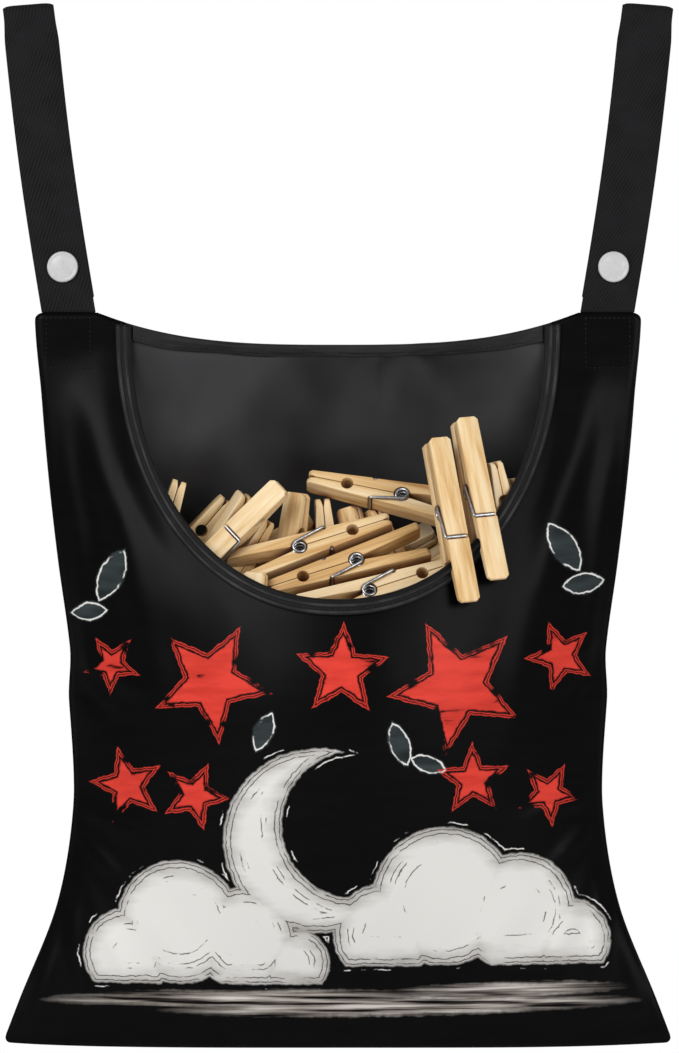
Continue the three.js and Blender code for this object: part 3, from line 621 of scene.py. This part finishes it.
def back_folds(x, drop):
    height = 1.6 * uneven(x, drop, 34, 80, 9.0) + 0.7 * uneven(x, drop, 15, 30, 3.0)
    height += sum(ridge(x, drop, *fold) for fold in BACK_FOLDS)
    edge = blend_in(0, 14, half_width(drop) - abs(x)) * blend_in(0, 14, BAG_HEIGHT - drop)
    return height * edge * blend_in(0, 8, drop - top_drop(x))


def back_skin(x, drop):
    # The flat that rests on a wall runs softly into the curve round it
    curve, soft = BACK_BULGE * fullness(x, drop), 8
    near = max(0, soft - abs(curve - BACK_FLAT))
    rounded = min(curve, BACK_FLAT) - near ** 2 / (4 * soft)
    return (seam_offset(drop) + max(0, rounded)) * clear_of_seams(x, drop) + back_folds(x, drop)


def hem_corner(x, drop):
    # The top corners of the panels are turned under and rounded
    corner = 4.5
    if drop >= 2 * corner:
        return drop
    reach = min(max(0, corner - (half_width(drop) - abs(x))), corner)
    return drop + corner - math.sqrt(corner ** 2 - reach ** 2)


def bottom_drop(across):
    # The bottom seam sags a little between its rounded corners
    corner, sag = 4, 2.5
    reach = min(max(corner - (1 - abs(across)) * BOTTOM_HALF, 0), corner)
    return BAG_HEIGHT - sag * across ** 4 - corner + math.sqrt(corner ** 2 - reach ** 2)


def closer_at_ends(across):
    # Spreads grid lines so that they lie closer together near the side seams
    return math.copysign(1 - (1 - abs(across)) ** 1.4, across)


def upper_edge(u):
    # From the left corner along the hem, round the mouth and on to the right corner
    if HEM_SHARE < u < 1 - HEM_SHARE:
        return mouth_edge((u - HEM_SHARE) / (1 - 2 * HEM_SHARE), TAPE + BINDING_FIT)
    end = u / HEM_SHARE if u <= HEM_SHARE else (1 - u) / HEM_SHARE
    x = mix(TOP_HALF, MOUTH_HALF, end ** 1.6) * (-1 if u < 0.5 else 1)
    return Vector((x, top_drop(x) - SEWN_RISE))


def front_spot(u, v):
    top = upper_edge(u)
    end = closer_at_ends(2 * u - 1)
    drop = mix(hem_corner(top.x, top.y), bottom_drop(end), v)
    across = mix(top.x / half_width(top.y), end, v)
    return across * half_width(drop), drop


def back_spot(u, v):
    across = closer_at_ends(2 * u - 1)
    x = across * TOP_HALF
    drop = mix(hem_corner(x, top_drop(x) - SEWN_RISE), bottom_drop(across), v)
    return across * half_width(drop), drop


def flat_cut(spot):
    return lambda u, v: tuple(value * MM for value in spot(u, v))


def laid_on(skin, spot):
    def place(u, v):
        x, drop = spot(u, v)
        across = x / half_width(drop)
        return on_bag(x + across * side_bump(drop) * blend_in(0.8, 1, abs(across)), skin(x, drop), drop)
    return place


def panel(name, columns, skin, spot, outside):
    bm = sheet_of(columns, 120, laid_on(skin, spot), flat_cut(spot), faces_front=name == "front")
    made = piece(f"{name}_cloth", bm, [outside, REVERSE], "sewn_bag", [f"{name}_panel"])
    thicken(made, CLOTH, offset=1, inner=1)
    return made


def mouth_binding():
    # Folded tape: its section runs from the front's raw edge of the tape, round the cloth's edge and back
    front, back = -CLOTH - BINDING_FIT - TAPE / 2, BINDING_FIT + TAPE / 2
    middle, half = (front + back) / 2, (back - front) / 2
    quarter = 0.5 * math.pi * half  # of the turn round the cloth's edge
    ridge_rise, unevenness = 0.5, 0.25
    map_length = 400

    def place(u, v):
        reach = (2 * v - 1) * (BINDING_WIDTH + quarter)
        bend = max(-1.0, min(1.0, reach / quarter)) * math.pi / 2
        inset = max(0, abs(reach) - quarter)
        ripple = unevenness * noise.noise((90 * u, 3 * v, 1.0))
        ripple += ridge_rise * math.sin(math.pi * inset / BINDING_GROOVE) ** 2
        edge = mouth_edge(u, half - half * math.cos(bend) + inset)
        depth = middle + half * math.sin(bend) + math.copysign(ripple, reach)
        return on_bag(edge.x, front_inside(edge.x, edge.y) + depth, edge.y)

    section = 2 * (BINDING_WIDTH + quarter)
    bm = sheet_of(260, 40, place, lambda u, v: (map_length * MM * u, section * MM * v))
    made = piece("mouth_tape", bm, [BINDING], "sewn_bag", ["mouth_binding"])
    thicken(made, TAPE)
    return made


def mouth_stitching():
    # One row in the binding's groove
    count, proud = 240, 0.1
    points = []
    for i in range(count + 1):
        edge = mouth_edge(i / count, BINDING_GROOVE + BINDING_THICK / 2)
        y = front_inside(edge.x, edge.y) - CLOTH - BINDING_FIT - TAPE - proud
        points.append(on_bag(edge.x, y, edge.y))
    return stitching("mouth_stitching", points, GREY_THREAD, pitch=2.6, thread=0.55)


def hem_width(x):
    # Turned under by hand: full at the ends and narrower in the middle
    middle, ends, unevenness = 0.6, 0.3, 0.1
    chance = noise.noise((x / 24, 3.0, 0.0))
    return HEM_WIDTH * (middle + ends * (x / MOUTH_HALF) ** 2 + unevenness * chance)


def hem_forward(x, share):
    # In front of the back panel: rolled in the middle, where it shades itself, and nearly flat at its ends
    roll, tilt = 1.6, 0.7
    flat = blend_in(0.5, 0.95, abs(x) / MOUTH_HALF)
    return TOUCH + HEM_THICK / 2 + mix(roll * math.sin(math.pi * math.sqrt(share)), tilt * share, flat)


def top_hem():
    half = MOUTH_HALF - TOUCH
    unevenness, map_length = 0.3, 200

    def place(u, v):
        x = mix(-half, half, u)
        drop = top_drop(x) + hem_width(x) * v
        ripple = unevenness * noise.noise((x / 9, 4 * v, 7.0))
        return on_bag(x, back_inside(x, top_drop(x)) - hem_forward(x, v) - ripple, drop)

    bm = sheet_of(150, 16, place, lambda u, v: (map_length * MM * u, HEM_WIDTH * MM * v))
    made = piece("hem_fold", bm, [HEM], "sewn_bag", ["top_hem"])
    thicken(made, HEM_THICK)
    return made


def hem_stitching():
    half, margin, proud = MOUTH_HALF - 2, 1.5, 0.35
    count = 100
    points = []
    for i in range(count + 1):
        x = mix(-half, half, i / count)
        y = back_inside(x, top_drop(x)) - hem_forward(x, 1 - margin / hem_width(x)) - proud
        points.append(on_bag(x, y, top_drop(x) + hem_width(x) - margin))
    return stitching("hem_stitching", points, BLACK_THREAD, pitch=2.8, thread=0.5)


def box_stitching(prefix, side):
    half = WEB_WIDTH / 2 - STITCH_MARGIN
    high, low = HEM_GAP + STITCH_MARGIN, HEM_GAP + TAIL_LENGTH - STITCH_MARGIN
    corners = [(-half, high), (half, high), (half, low), (-half, low), (-half, high)]
    count, proud = 11, 0.2
    points = []
    for (x0, d0), (x1, d1) in zip(corners, corners[1:]):
        for i in range(count + 1):
            x, drop = side * STRAP_OUT_HEM + mix(x0, x1, i / count), mix(d0, d1, i / count)
            points.append(on_bag(x, front_skin(x, drop) - CLOTH - proud, drop))
    return stitching(f"{prefix}_box_stitching", points, BLACK_THREAD, pitch=2.4, thread=0.6,
                     nodes=[f"{prefix}_box_stitch"])


# Straps
def strap_frame(side):
    return Matrix.Translation((side * STRAP_OUT_TOP * MM, 0, 0)) @ Matrix.Rotation(side * STRAP_LEAN, 4, "Y")


def webbing(prefix, side):
    # One length of webbing, up from the hem, over the fold and down behind to its cut end
    front = (STRAP_DROP + HEM_GAP - SEWN_RISE) * ALONG_STRAP
    back = (STRAP_DROP - FLAP_SHORT) * ALONG_STRAP
    fold = math.pi * WEB_MIDDLE
    total = front + fold + back
    bow, slack = 1.5, 2.3  # out of the straight half-way up, and above a tight fold
    fold_level = 0.4  # 0 would be square to the strap, 1 level with the hem
    gather, gather_run = 0.06, 14  # share of the width drawn in at the fold, and how far it reaches
    corner_lack, corner_power = 0.5, 8  # share of the slack missing at the corners, and their tightness
    width, thick = WEB_WIDTH - 0.2, WEB_THICK - 0.1  # a little within the frame's
    matrix = strap_frame(side)

    def place(u, v):
        run = v * total
        from_fold = max(0, abs(run - front - fold / 2) - fold / 2)
        x = (u - 0.5) * width * (1 - gather * (1 - blend_in(0, gather_run, from_fold)))
        up = min(run / front, (total - run) / back, 1)
        if run < front:
            spot = Vector((x, -WEB_MIDDLE, run - front))
        elif run < front + fold:
            angle = math.pi - (run - front) / WEB_MIDDLE
            rise = WEB_MIDDLE + slack * (1 - corner_lack * abs(2 * u - 1) ** corner_power)
            spot = Vector((x, WEB_MIDDLE * math.cos(angle), rise * math.sin(angle)))
        else:
            spot = Vector((x, WEB_MIDDLE, front + fold - run))
        # Level at the hem, nearly square over the line and square at the cut end
        level = 1 - (1 - fold_level) * up if run < front else fold_level * up
        spot.z += x * math.tan(side * STRAP_LEAN) * level
        spot.x += side * bow * math.sin(math.pi * up)
        return matrix @ (spot * MM)

    bm = sheet_of(14, 190, place, lambda u, v: (WEB_WIDTH * MM * u, total * MM * v))
    made = piece(f"{prefix}_webbing", bm, [WEBBING], None, [f"{prefix}_strap", f"{prefix}_flap"])
    thicken(made, thick, even=False)
    edge = made.modifiers.new("selvedge", "BEVEL")
    edge.width, edge.segments, edge.limit_method = 0.5 * MM, 3, "ANGLE"
    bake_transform(made)
    return made


def stud_cap(prefix, side, way, body, node):
    # Domed cap with a turned-down rim, spun about the stud's axis; way is -1 for the front and 1 for the back
    bm = bmesh.new()
    profile = [(0, CAP_RISE), (2.4, CAP_RISE - 0.1), (4.6, CAP_RISE - 0.4), (5.7, CAP_RISE - 0.7),
               (6.2, CAP_RISE - 0.78), (6.6, CAP_RISE - 0.5), (7.0, CAP_RISE - 0.42), (7.5, CAP_RISE - 0.75),
               (CAP_RADIUS, 0.45), (CAP_RADIUS - 0.15, 0.1), (CAP_RADIUS - 0.6, 0), (0, 0)]
    verts = [bm.verts.new((r * MM, way * (CAP_FACE + rise) * MM, 0)) for r, rise in profile]
    edges = [bm.edges.new(pair) for pair in zip(verts, verts[1:])]
    bmesh.ops.spin(bm, geom=verts + edges, cent=(0, 0, 0), axis=(0, 1, 0), angle=2 * math.pi, steps=48,
                   use_merge=True)
    bmesh.ops.remove_doubles(bm, verts=bm.verts, dist=1e-6)
    bmesh.ops.recalc_face_normals(bm, faces=bm.faces)
    drop = Matrix.Translation((0, 0, -STUD_DROP * ALONG_STRAP * MM))
    bmesh.ops.transform(bm, matrix=strap_frame(side) @ drop, verts=bm.verts)
    return piece(f"{prefix}_{node}_dome", bm, [STUD], body, [f"{prefix}_{node}"])


# Pegs: Z runs from the jaws to the handles, Y from the front lever to the back lever, X along the coil
def lever_face(z):
    return LEVER_THICK + z * math.tan(LEVER_FLARE)


def arc(cx, cy, radius, start, end, steps):
    angles = [mix(start, end, i / steps) for i in range(steps + 1)]
    return [(cx + radius * math.cos(a), cy + radius * math.sin(a)) for a in angles]


def lever_outline():
    mate = TOUCH / 2
    groove = WIRE / 2 + TOUCH
    return [
        (mate + JAW_CHAMFER / 4, -JAW), (mate, JAW_CHAMFER - JAW),
        *arc(mate, -NOTCH_DROP, NOTCH_RADIUS, -math.pi / 2, math.pi / 2, 12),
        *arc(0, 0, GROOVE_RADIUS, -math.acos(mate / GROOVE_RADIUS), math.radians(72), 14),
        (lever_face(HANDLE) - HANDLE_THICK, HANDLE), (lever_face(HANDLE), HANDLE),
        *arc(lever_face(-ARM_DROP), -ARM_DROP, groove, math.pi / 2, 1.5 * math.pi, 8),
        (lever_face(-JAW), -JAW),
    ]


def across_an_end(edge):
    # True where an edge runs through the lever's thickness at its jaws or its handle
    first, second = (vert.co for vert in edge.verts)
    near = 1e-6
    along_y = abs(first.z - second.z) < near and abs(first.x - second.x) < near
    return along_y and abs(first.z) > 0.9 * HANDLE * MM


def lever(side, turn, tone, seed):
    # Sawn blank with its long edges broken and the corners of its ends cut off
    bm = bmesh.new()
    half = PEG_WIDTH / 2
    ring = [bm.verts.new((-half * MM, side * y * MM, z * MM)) for y, z in lever_outline()]
    extruded = bmesh.ops.extrude_face_region(bm, geom=[bm.faces.new(ring)])
    moved = [part for part in extruded["geom"] if isinstance(part, bmesh.types.BMVert)]
    bmesh.ops.translate(bm, verts=moved, vec=(2 * half * MM, 0, 0))
    bmesh.ops.recalc_face_normals(bm, faces=bm.faces)
    corner_cut, edge_break, sharp = 1.6, 0.35, 0.9
    ends = [edge for edge in bm.edges if across_an_end(edge)]
    bevel = {"profile": 0.5, "affect": "EDGES", "material": -1}
    bmesh.ops.bevel(bm, geom=ends, offset=corner_cut * MM, segments=1, **bevel)
    rims = [edge for edge in bm.edges if len(edge.link_faces) == 2 and edge.calc_face_angle() > sharp]
    bmesh.ops.bevel(bm, geom=rims, offset=edge_break * MM, segments=2, clamp_overlap=True, **bevel)
    mark_grain(bm, tone, seed)
    bmesh.ops.rotate(bm, verts=bm.verts, cent=(0, 0, 0), matrix=Matrix.Rotation(side * turn, 3, "X"))
    return bm


def mark_grain(bm, tone, seed):
    # Each lever keeps its own place in the wood and its own paleness
    grain = bm.verts.layers.float_vector.new("grain")
    paleness = bm.verts.layers.float.new("tone")
    apart = Vector((0.37, 0.11, 0.53))
    for vert in bm.verts:
        vert[grain] = vert.co + apart * seed
        vert[paleness] = tone


def spring_path(turn):
    # From one arm's end in its groove, round the coil and out to the other arm's end
    reach = math.hypot(lever_face(-ARM_DROP), ARM_DROP)
    lean = math.atan2(lever_face(-ARM_DROP), ARM_DROP) + turn
    arm_y, arm_z = reach * math.sin(lean), -reach * math.cos(lean)
    leave = math.acos(COIL_RADIUS / reach)
    first = 1.5 * math.pi - lean - leave
    last = -math.pi / 2 + lean + leave - 2 * math.pi * CURLS
    steps = 100
    coil = []
    for i in range(steps + 1):
        angle = mix(first, last, i / steps)
        x = mix(-ARM_SIDE, ARM_SIDE, i / steps)
        coil.append(Vector((x, COIL_RADIUS * math.cos(angle), COIL_RADIUS * math.sin(angle))))
    bend = ARM_SIDE - PEG_WIDTH / 2
    free = PEG_WIDTH / 2 - WIRE_END

    def arm(side, meet):
        corner = Vector((side * ARM_SIDE, side * arm_y, arm_z))
        rise = (meet - corner).normalized()
        start, end = corner - Vector((side * bend, 0, 0)), corner + rise * bend
        shares = (0, 0.25, 0.5, 0.75, 1)
        turned = [start.lerp(corner, t).lerp(corner.lerp(end, t), t) for t in shares]
        return [Vector((-side * free, side * arm_y, arm_z))] + turned

    return arm(-1, coil[0]) + coil + arm(1, coil[-1])[::-1]


def spring(turn):
    # Round wire drawn along its path as a curve, then made a mesh
    curve = bpy.data.curves.new("wire", "CURVE")
    curve.dimensions = "3D"
    curve.bevel_depth = WIRE / 2 * MM
    curve.bevel_resolution = 2
    curve.use_fill_caps = True
    path = spring_path(turn)
    line = curve.splines.new("POLY")
    line.points.add(len(path) - 1)
    for point, spot in zip(line.points, path):
        point.co = (*spot * MM, 1)
    holder = bpy.data.objects.new("wire", curve)
    mesh = bpy.data.meshes.new_from_object(holder)
    bm = bmesh.new()
    bm.from_mesh(mesh)
    bpy.data.objects.remove(holder)
    bpy.data.curves.remove(curve)
    bpy.data.meshes.remove(mesh)
    return bm


def set_in(bm, place):
    bmesh.ops.transform(bm, matrix=place, verts=bm.verts)
    return bm


def lever_pair(place, turn, chance, seed):
    # The front and the back lever of a peg, cut from neighbouring places in the wood
    tone = WOOD_TONES * noise.noise(chance)
    pair = [lever(side, turn, tone + LEVER_TONES * side, seed + 0.5 * side) for side in (-1, 1)]
    return [set_in(bm, place) for bm in pair]


def peg(prefix, place, turn, seed, front_body="sewn_bag"):
    levers = lever_pair(place, turn, (seed * 3.7, 1.3, 0.0), seed)
    for bm, name, body in zip(levers, ("front_lever", "back_lever"), (front_body, "sewn_bag")):
        piece(f"{prefix}_{name}_wood", bm, [WOOD], body, [f"{prefix}_{name}"])
    wire = piece(f"{prefix}_wire", set_in(spring(turn), place), [STEEL], None,
                 [f"{prefix}_spring"])
    if front_body == "sewn_bag":
        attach(wire, "sewn_bag")
    else:
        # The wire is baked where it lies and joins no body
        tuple(place.translation)
        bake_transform(wire)


def place_from(across, inward, up, spot):
    matrix = Matrix((across, inward, up)).transposed().to_4x4()
    matrix.translation = spot
    return matrix


def rim_place(share, near):
    # A peg that grips the rim at this share of the mouth, square to the cloth there
    def middle(x, drop):
        return front_inside(x, drop) - CLOTH / 2

    edge = mouth_edge(share, 0)
    step = 0.5
    slope_x = (middle(edge.x + step, edge.y) - middle(edge.x - step, edge.y)) / (2 * step)
    slope_z = (middle(edge.x, edge.y - step) - middle(edge.x, edge.y + step)) / (2 * step)
    inward = Vector((-slope_x, 1, -slope_z)).normalized()
    up = Vector((-math.sin(RIM_PEG_LEAN), 0, math.cos(RIM_PEG_LEAN)))
    up.y = -up.dot(inward) / inward.y
    up.normalize()
    across = inward.cross(up)
    ahead = mouth_edge(share + 1e-3, 0) - edge
    rim = Vector((ahead.x, 0, -ahead.y))
    grip = near + PEG_WIDTH / 2 * abs(rim.dot(up) / rim.dot(across))
    return place_from(across, inward, up, on_bag(edge.x, middle(edge.x, edge.y), edge.y) + up * grip * MM)


def next_share(share):
    # The place along the mouth where the next peg has room
    pitch = 2 * (ARM_SIDE + WIRE / 2) + RIM_PEG_GAP
    run, step = 0.0, 1e-3
    while run < pitch:
        run += (mouth_edge(share + step, 0) - mouth_edge(share, 0)).length
        share += step
    return share


def heap_frame():
    # The heap's slope: X across, Y up the slope and Z out of it, from its foot in the middle
    bottom = mouth_edge(0.5, 0)
    up = Vector((0, math.cos(HEAP_SLOPE), math.sin(HEAP_SLOPE)))
    out = Vector((0, -math.sin(HEAP_SLOPE), math.cos(HEAP_SLOPE)))
    y = front_inside(0, bottom.y) + BINDING_THICK
    spot = on_bag(0, y, bottom.y + HEAP_SINK) - out * 2 * PEG_REST * MM
    return place_from(Vector((1, 0, 0)), up, out, spot)


def heap_place(across, up, turn, flip):
    # A peg on its side on the heap's slope, about the middle of its length
    lie = Matrix(((0, 0, -flip), (0, flip, 0), (1, 0, 0))).to_4x4()
    spot = Matrix.Translation(Vector((across, up, PEG_REST)) * MM)
    centre = Matrix.Translation((-flip * (JAW - HANDLE) / 2 * MM, 0, 0))
    return heap_frame() @ spot @ Matrix.Rotation(turn, 4, "Z") @ centre @ lie


def peg_corners(place, half, share=1):
    # The outer corners of a peg, with its thickness taken by a share
    return [place @ (Vector((x, side * share * lever_face(z), z)) * MM)
            for z in (-JAW, HANDLE) for side in (-1, 1) for x in (-half, half)]


def in_bag(spot):
    x, y, drop = spot.x, spot.y - HEM_Y, -STRAP_DROP - spot.z
    behind_front = outside_mouth(x, drop) < 0 or y > front_inside(x, drop) + BINDING_THICK
    return behind_front and y < back_inside(x, drop) - PILE_CLEAR


def fits_in_bag(place):
    return all(in_bag(corner / MM) for corner in peg_corners(place, ARM_SIDE + WIRE / 2))


def heap_places():
    # Rows nested end for end, and one peg askew above them
    spot = Vector((HEAP_MIDDLE, HEAP_UP))
    along = Vector((math.cos(HEAP_TURN), math.sin(HEAP_TURN)))
    onward = Vector((-along.y, along.x))
    places = []
    for row in range(HEAP_ROWS):
        flip = -1 if row % 2 else 1
        if row > 0:
            wedge = math.tan(LEVER_FLARE) * (JAW - HANDLE + flip * HEAP_STAGGER)
            spot += onward * (2 * LEVER_THICK + ROW_GAP - wedge) - along * HEAP_STAGGER
        places.append(heap_place(spot.x, spot.y, HEAP_TURN, flip))
    places.append(heap_place(CROSS_PEG_ACROSS, HEAP_UP + CROSS_PEG_ABOVE, CROSS_PEG_TURN, -1))
    return places


def rim_places():
    places = []
    share = RIM_PEG_TURN
    for near in RIM_GRIPS:
        places.append(rim_place(share, near))
        share = next_share(share)
    return places


def top_pegs():
    for number, place in enumerate(heap_places(), 1):
        peg(f"heap_peg_{number}", place, 0.0, 10 + number)
    for number, (place, near) in enumerate(zip(rim_places(), RIM_GRIPS), 1):
        opened = math.atan2(BINDING_THICK / 2 + GRIP_CLEAR, near)
        peg(f"rim_peg_{number}", place, opened, 30 + number, f"rim_lever_{number}")


# Loose pegs by the end that shows: across, below the hem, then degrees of turn, lean back and roll, and how
# far in front of the slope each starts; a peg points up and to the right to its end for a turn of 0 to 90
LOOSE_PEGS = [
    (-79, 85, 72, 0, 5, 20), (-56, 94, 50, 0, 10, 26), (-45, 106, 42, -10, 10, 26), (66, 118, 35, -6, 20, 6),
    (-20, 91, 82, -12, 70, 0), (-8, 94, 95, -6, 10, 0), (5, 98, 106, -8, 60, 0), (17, 99, 114, -10, 30, 0),
    (76, 76, 102, 6, 20, 12), (84, 84, 96, -4, 30, 16), (80, 96, 80, 0, 70, 12), (48, 110, 28, 4, 40, 4),
    (-36, 104, 60, 0, 30, 4), (-12, 106, 30, 0, 40, 4), (-28, 88, 45, -8, 80, 22), (-46, 92, 60, -20, 40, 12),
    (-62, 88, 75, -20, 40, 12),
]
FILLER_TRIES, FILLER_HIGH, FILLER_LOW, FILLER_WIDE = 500, 96, 160, 92
FILLER_TURN, FILLER_LEAN, FILLER_ROLL = 180, 40, 90
SQUEEZE = 0.72  # pegs in the heap may lie this much closer than their outer boxes
SLIDE_STEP, SLIDES = 1.5, 40  # a peg is tried so many times, this much farther back each time


def view_place(x, drop, turn, lean, roll, near):
    # A peg by the place of its jaws' end in the front view, started on the heap's slope or in front of it
    foot = heap_frame().translation / MM
    middle = drop + PEG_LENGTH / 2 * math.sin(math.radians(turn))
    y = foot.y - near + (-STRAP_DROP - middle - foot.z) / math.tan(HEAP_SLOPE)
    lie = Matrix(((0, 0, -1), (-1, 0, 0), (0, 1, 0))).to_4x4()
    return (Matrix.Translation(Vector((x, y, -STRAP_DROP - drop)) * MM)
            @ Matrix.Rotation(math.radians(lean), 4, "Z") @ Matrix.Rotation(-math.radians(turn), 4, "Y")
            @ Matrix.Rotation(math.radians(roll), 4, "X") @ Matrix.Translation((-JAW * MM, 0, 0)) @ lie)


def peg_box(place):
    # The outer shape of a peg's wood, for telling whether two pegs would run into each other
    half = SQUEEZE * PEG_WIDTH / 2
    sides = [(0, 1, 3, 2), (4, 6, 7, 5), (0, 4, 5, 1), (2, 3, 7, 6), (0, 2, 6, 4), (1, 5, 7, 3)]
    return BVHTree.FromPolygons(peg_corners(place, half, SQUEEZE), sides)


def settle(place, boxes):
    # Slides a peg straight back until it lies in the bag, clear of the pegs that are there
    for step in range(SLIDES):
        tried = Matrix.Translation((0, SLIDE_STEP * step * MM, 0)) @ place
        box = peg_box(tried)
        if fits_in_bag(tried) and not any(box.overlap(other) for other in boxes):
            boxes.append(box)
            return tried
    return None


def loose_pegs():
    # The pegs that show, then as many by chance as find room; the seed is fixed
    chance = random.Random(4)
    starts = [view_place(*spot) for spot in LOOSE_PEGS]
    for _ in range(FILLER_TRIES):
        starts.append(view_place(
            chance.uniform(-FILLER_WIDE, FILLER_WIDE), chance.uniform(FILLER_HIGH, FILLER_LOW),
            chance.uniform(0, FILLER_TURN), chance.uniform(-FILLER_LEAN, FILLER_LEAN),
            chance.uniform(-FILLER_ROLL, FILLER_ROLL), 0))
    boxes = [peg_box(place) for place in heap_places() + rim_places()]
    places = [settle(start, boxes) for start in starts]
    wood, wire = bmesh.new(), bmesh.new()
    for number, place in enumerate(filter(None, places)):
        for part in lever_pair(place, 0.0, (number * 3.1, 7.7, 0.0), 50 + number):
            join(wood, part)
        join(wire, set_in(spring(0.0), place))
    piece("loose_pegs_wood", wood, [WOOD], "sewn_bag", ["lower_pegs"])
    piece("loose_pegs_wire", wire, [STEEL], "sewn_bag")


def join(whole, part):
    mesh = bpy.data.meshes.new("part")
    part.to_mesh(mesh)
    part.free()
    whole.from_mesh(mesh)
    bpy.data.meshes.remove(mesh)


# Stage
def white_to_camera(tree, surface, kind):
    # Pure white where the camera looks straight at it, and plain otherwise
    seen = add(tree, "LightPath", output="Is Camera Ray")
    white = add(tree, kind, {"Color": (1, 1, 1, 1), "Strength": 1.0})
    return add(tree, "MixShader", {0: seen, 1: surface, 2: white})


def stage():
    half, height = 6, -0.75  # in metres
    bm = bmesh.new()
    bmesh.ops.create_grid(bm, x_segments=1, y_segments=1, size=half)
    bmesh.ops.translate(bm, verts=bm.verts, vec=(0, 0, height))
    mesh = bpy.data.meshes.new("floor")
    bm.to_mesh(mesh)
    bm.free()
    floor = linked("floor", mesh)
    made, tree, shader = material("pale_floor")
    connect(tree, shader, {"Base Color": linear("#F2F2F2")})
    seen = white_to_camera(tree, shader.outputs[0], "Emission")
    connect(tree, tree.nodes["Material Output"], {"Surface": seen})
    mesh.materials.append(made)


def daylight():
    world = bpy.data.worlds.new("studio")
    world.use_nodes = True
    bpy.context.scene.world = world
    tree = world.node_tree
    soft = tree.nodes["Background"]
    connect(tree, soft, {"Color": (1, 1, 1, 1), "Strength": 0.35})
    seen = white_to_camera(tree, soft.outputs[0], "Background")
    connect(tree, tree.nodes["World Output"], {"Surface": seen})


def softbox(name, place, aim, size, power):
    lamp = bpy.data.lights.new(name, "AREA")
    lamp.shape = "DISK"
    lamp.size = size
    lamp.energy = power
    made = linked(name, lamp)
    made.location = place
    made.rotation_euler = (Vector(aim) - Vector(place)).to_track_quat("-Z", "Y").to_euler()


def camera():
    # Level with the middle of the photo, whose rows span 526.5 mm at the plane of the straps
    rows, columns, scale = 1053, 679, 0.5
    middle_column, line_row = 338, 16
    away = 2.6
    data = bpy.data.cameras.new("camera")
    data.sensor_fit = "VERTICAL"
    data.sensor_height = 36
    data.lens = data.sensor_height * away / (rows * scale * MM)
    made = linked("camera", data)
    made.location = ((columns / 2 - middle_column) * scale * MM, HEM_Y * MM - away,
                     (line_row - rows / 2) * scale * MM)
    made.rotation_euler = (math.pi / 2, 0, 0)
    bpy.context.scene.camera = made


def main():
    front = panel("front", 190, front_skin, front_spot, PRINTED)
    back = panel("back", 120, back_skin, back_spot, PLAIN)
    trim = [mouth_binding(), mouth_stitching()]
    hem = [top_hem(), hem_stitching()]
    for prefix, side in (("left", -1), ("right", 1)):
        webbing(prefix, side)
        trim.append(box_stitching(prefix, side))
        stud_cap(prefix, side, -1, "strap_set", "front_cap")
        stud_cap(prefix, side, 1, f"{prefix}_closure", "back_cap")
        for node in ("socket", "stud"):
            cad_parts[f"{prefix}_{node}"].data.materials[0] = STUD
        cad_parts[f"{prefix}_strap_tail"].data.materials[0] = WEBBING
    top_pegs()
    loose_pegs()
    stage()
    daylight()
    softbox("key", place=(-1.4, -2.2, 0.9), aim=(0, 0, -0.25), size=1.6, power=42)
    softbox("fill", place=(1.6, -1.9, 0.3), aim=(0, 0, -0.3), size=1.4, power=20)
    camera()
    bpy.context.scene.view_settings.view_transform = "Standard"


main()
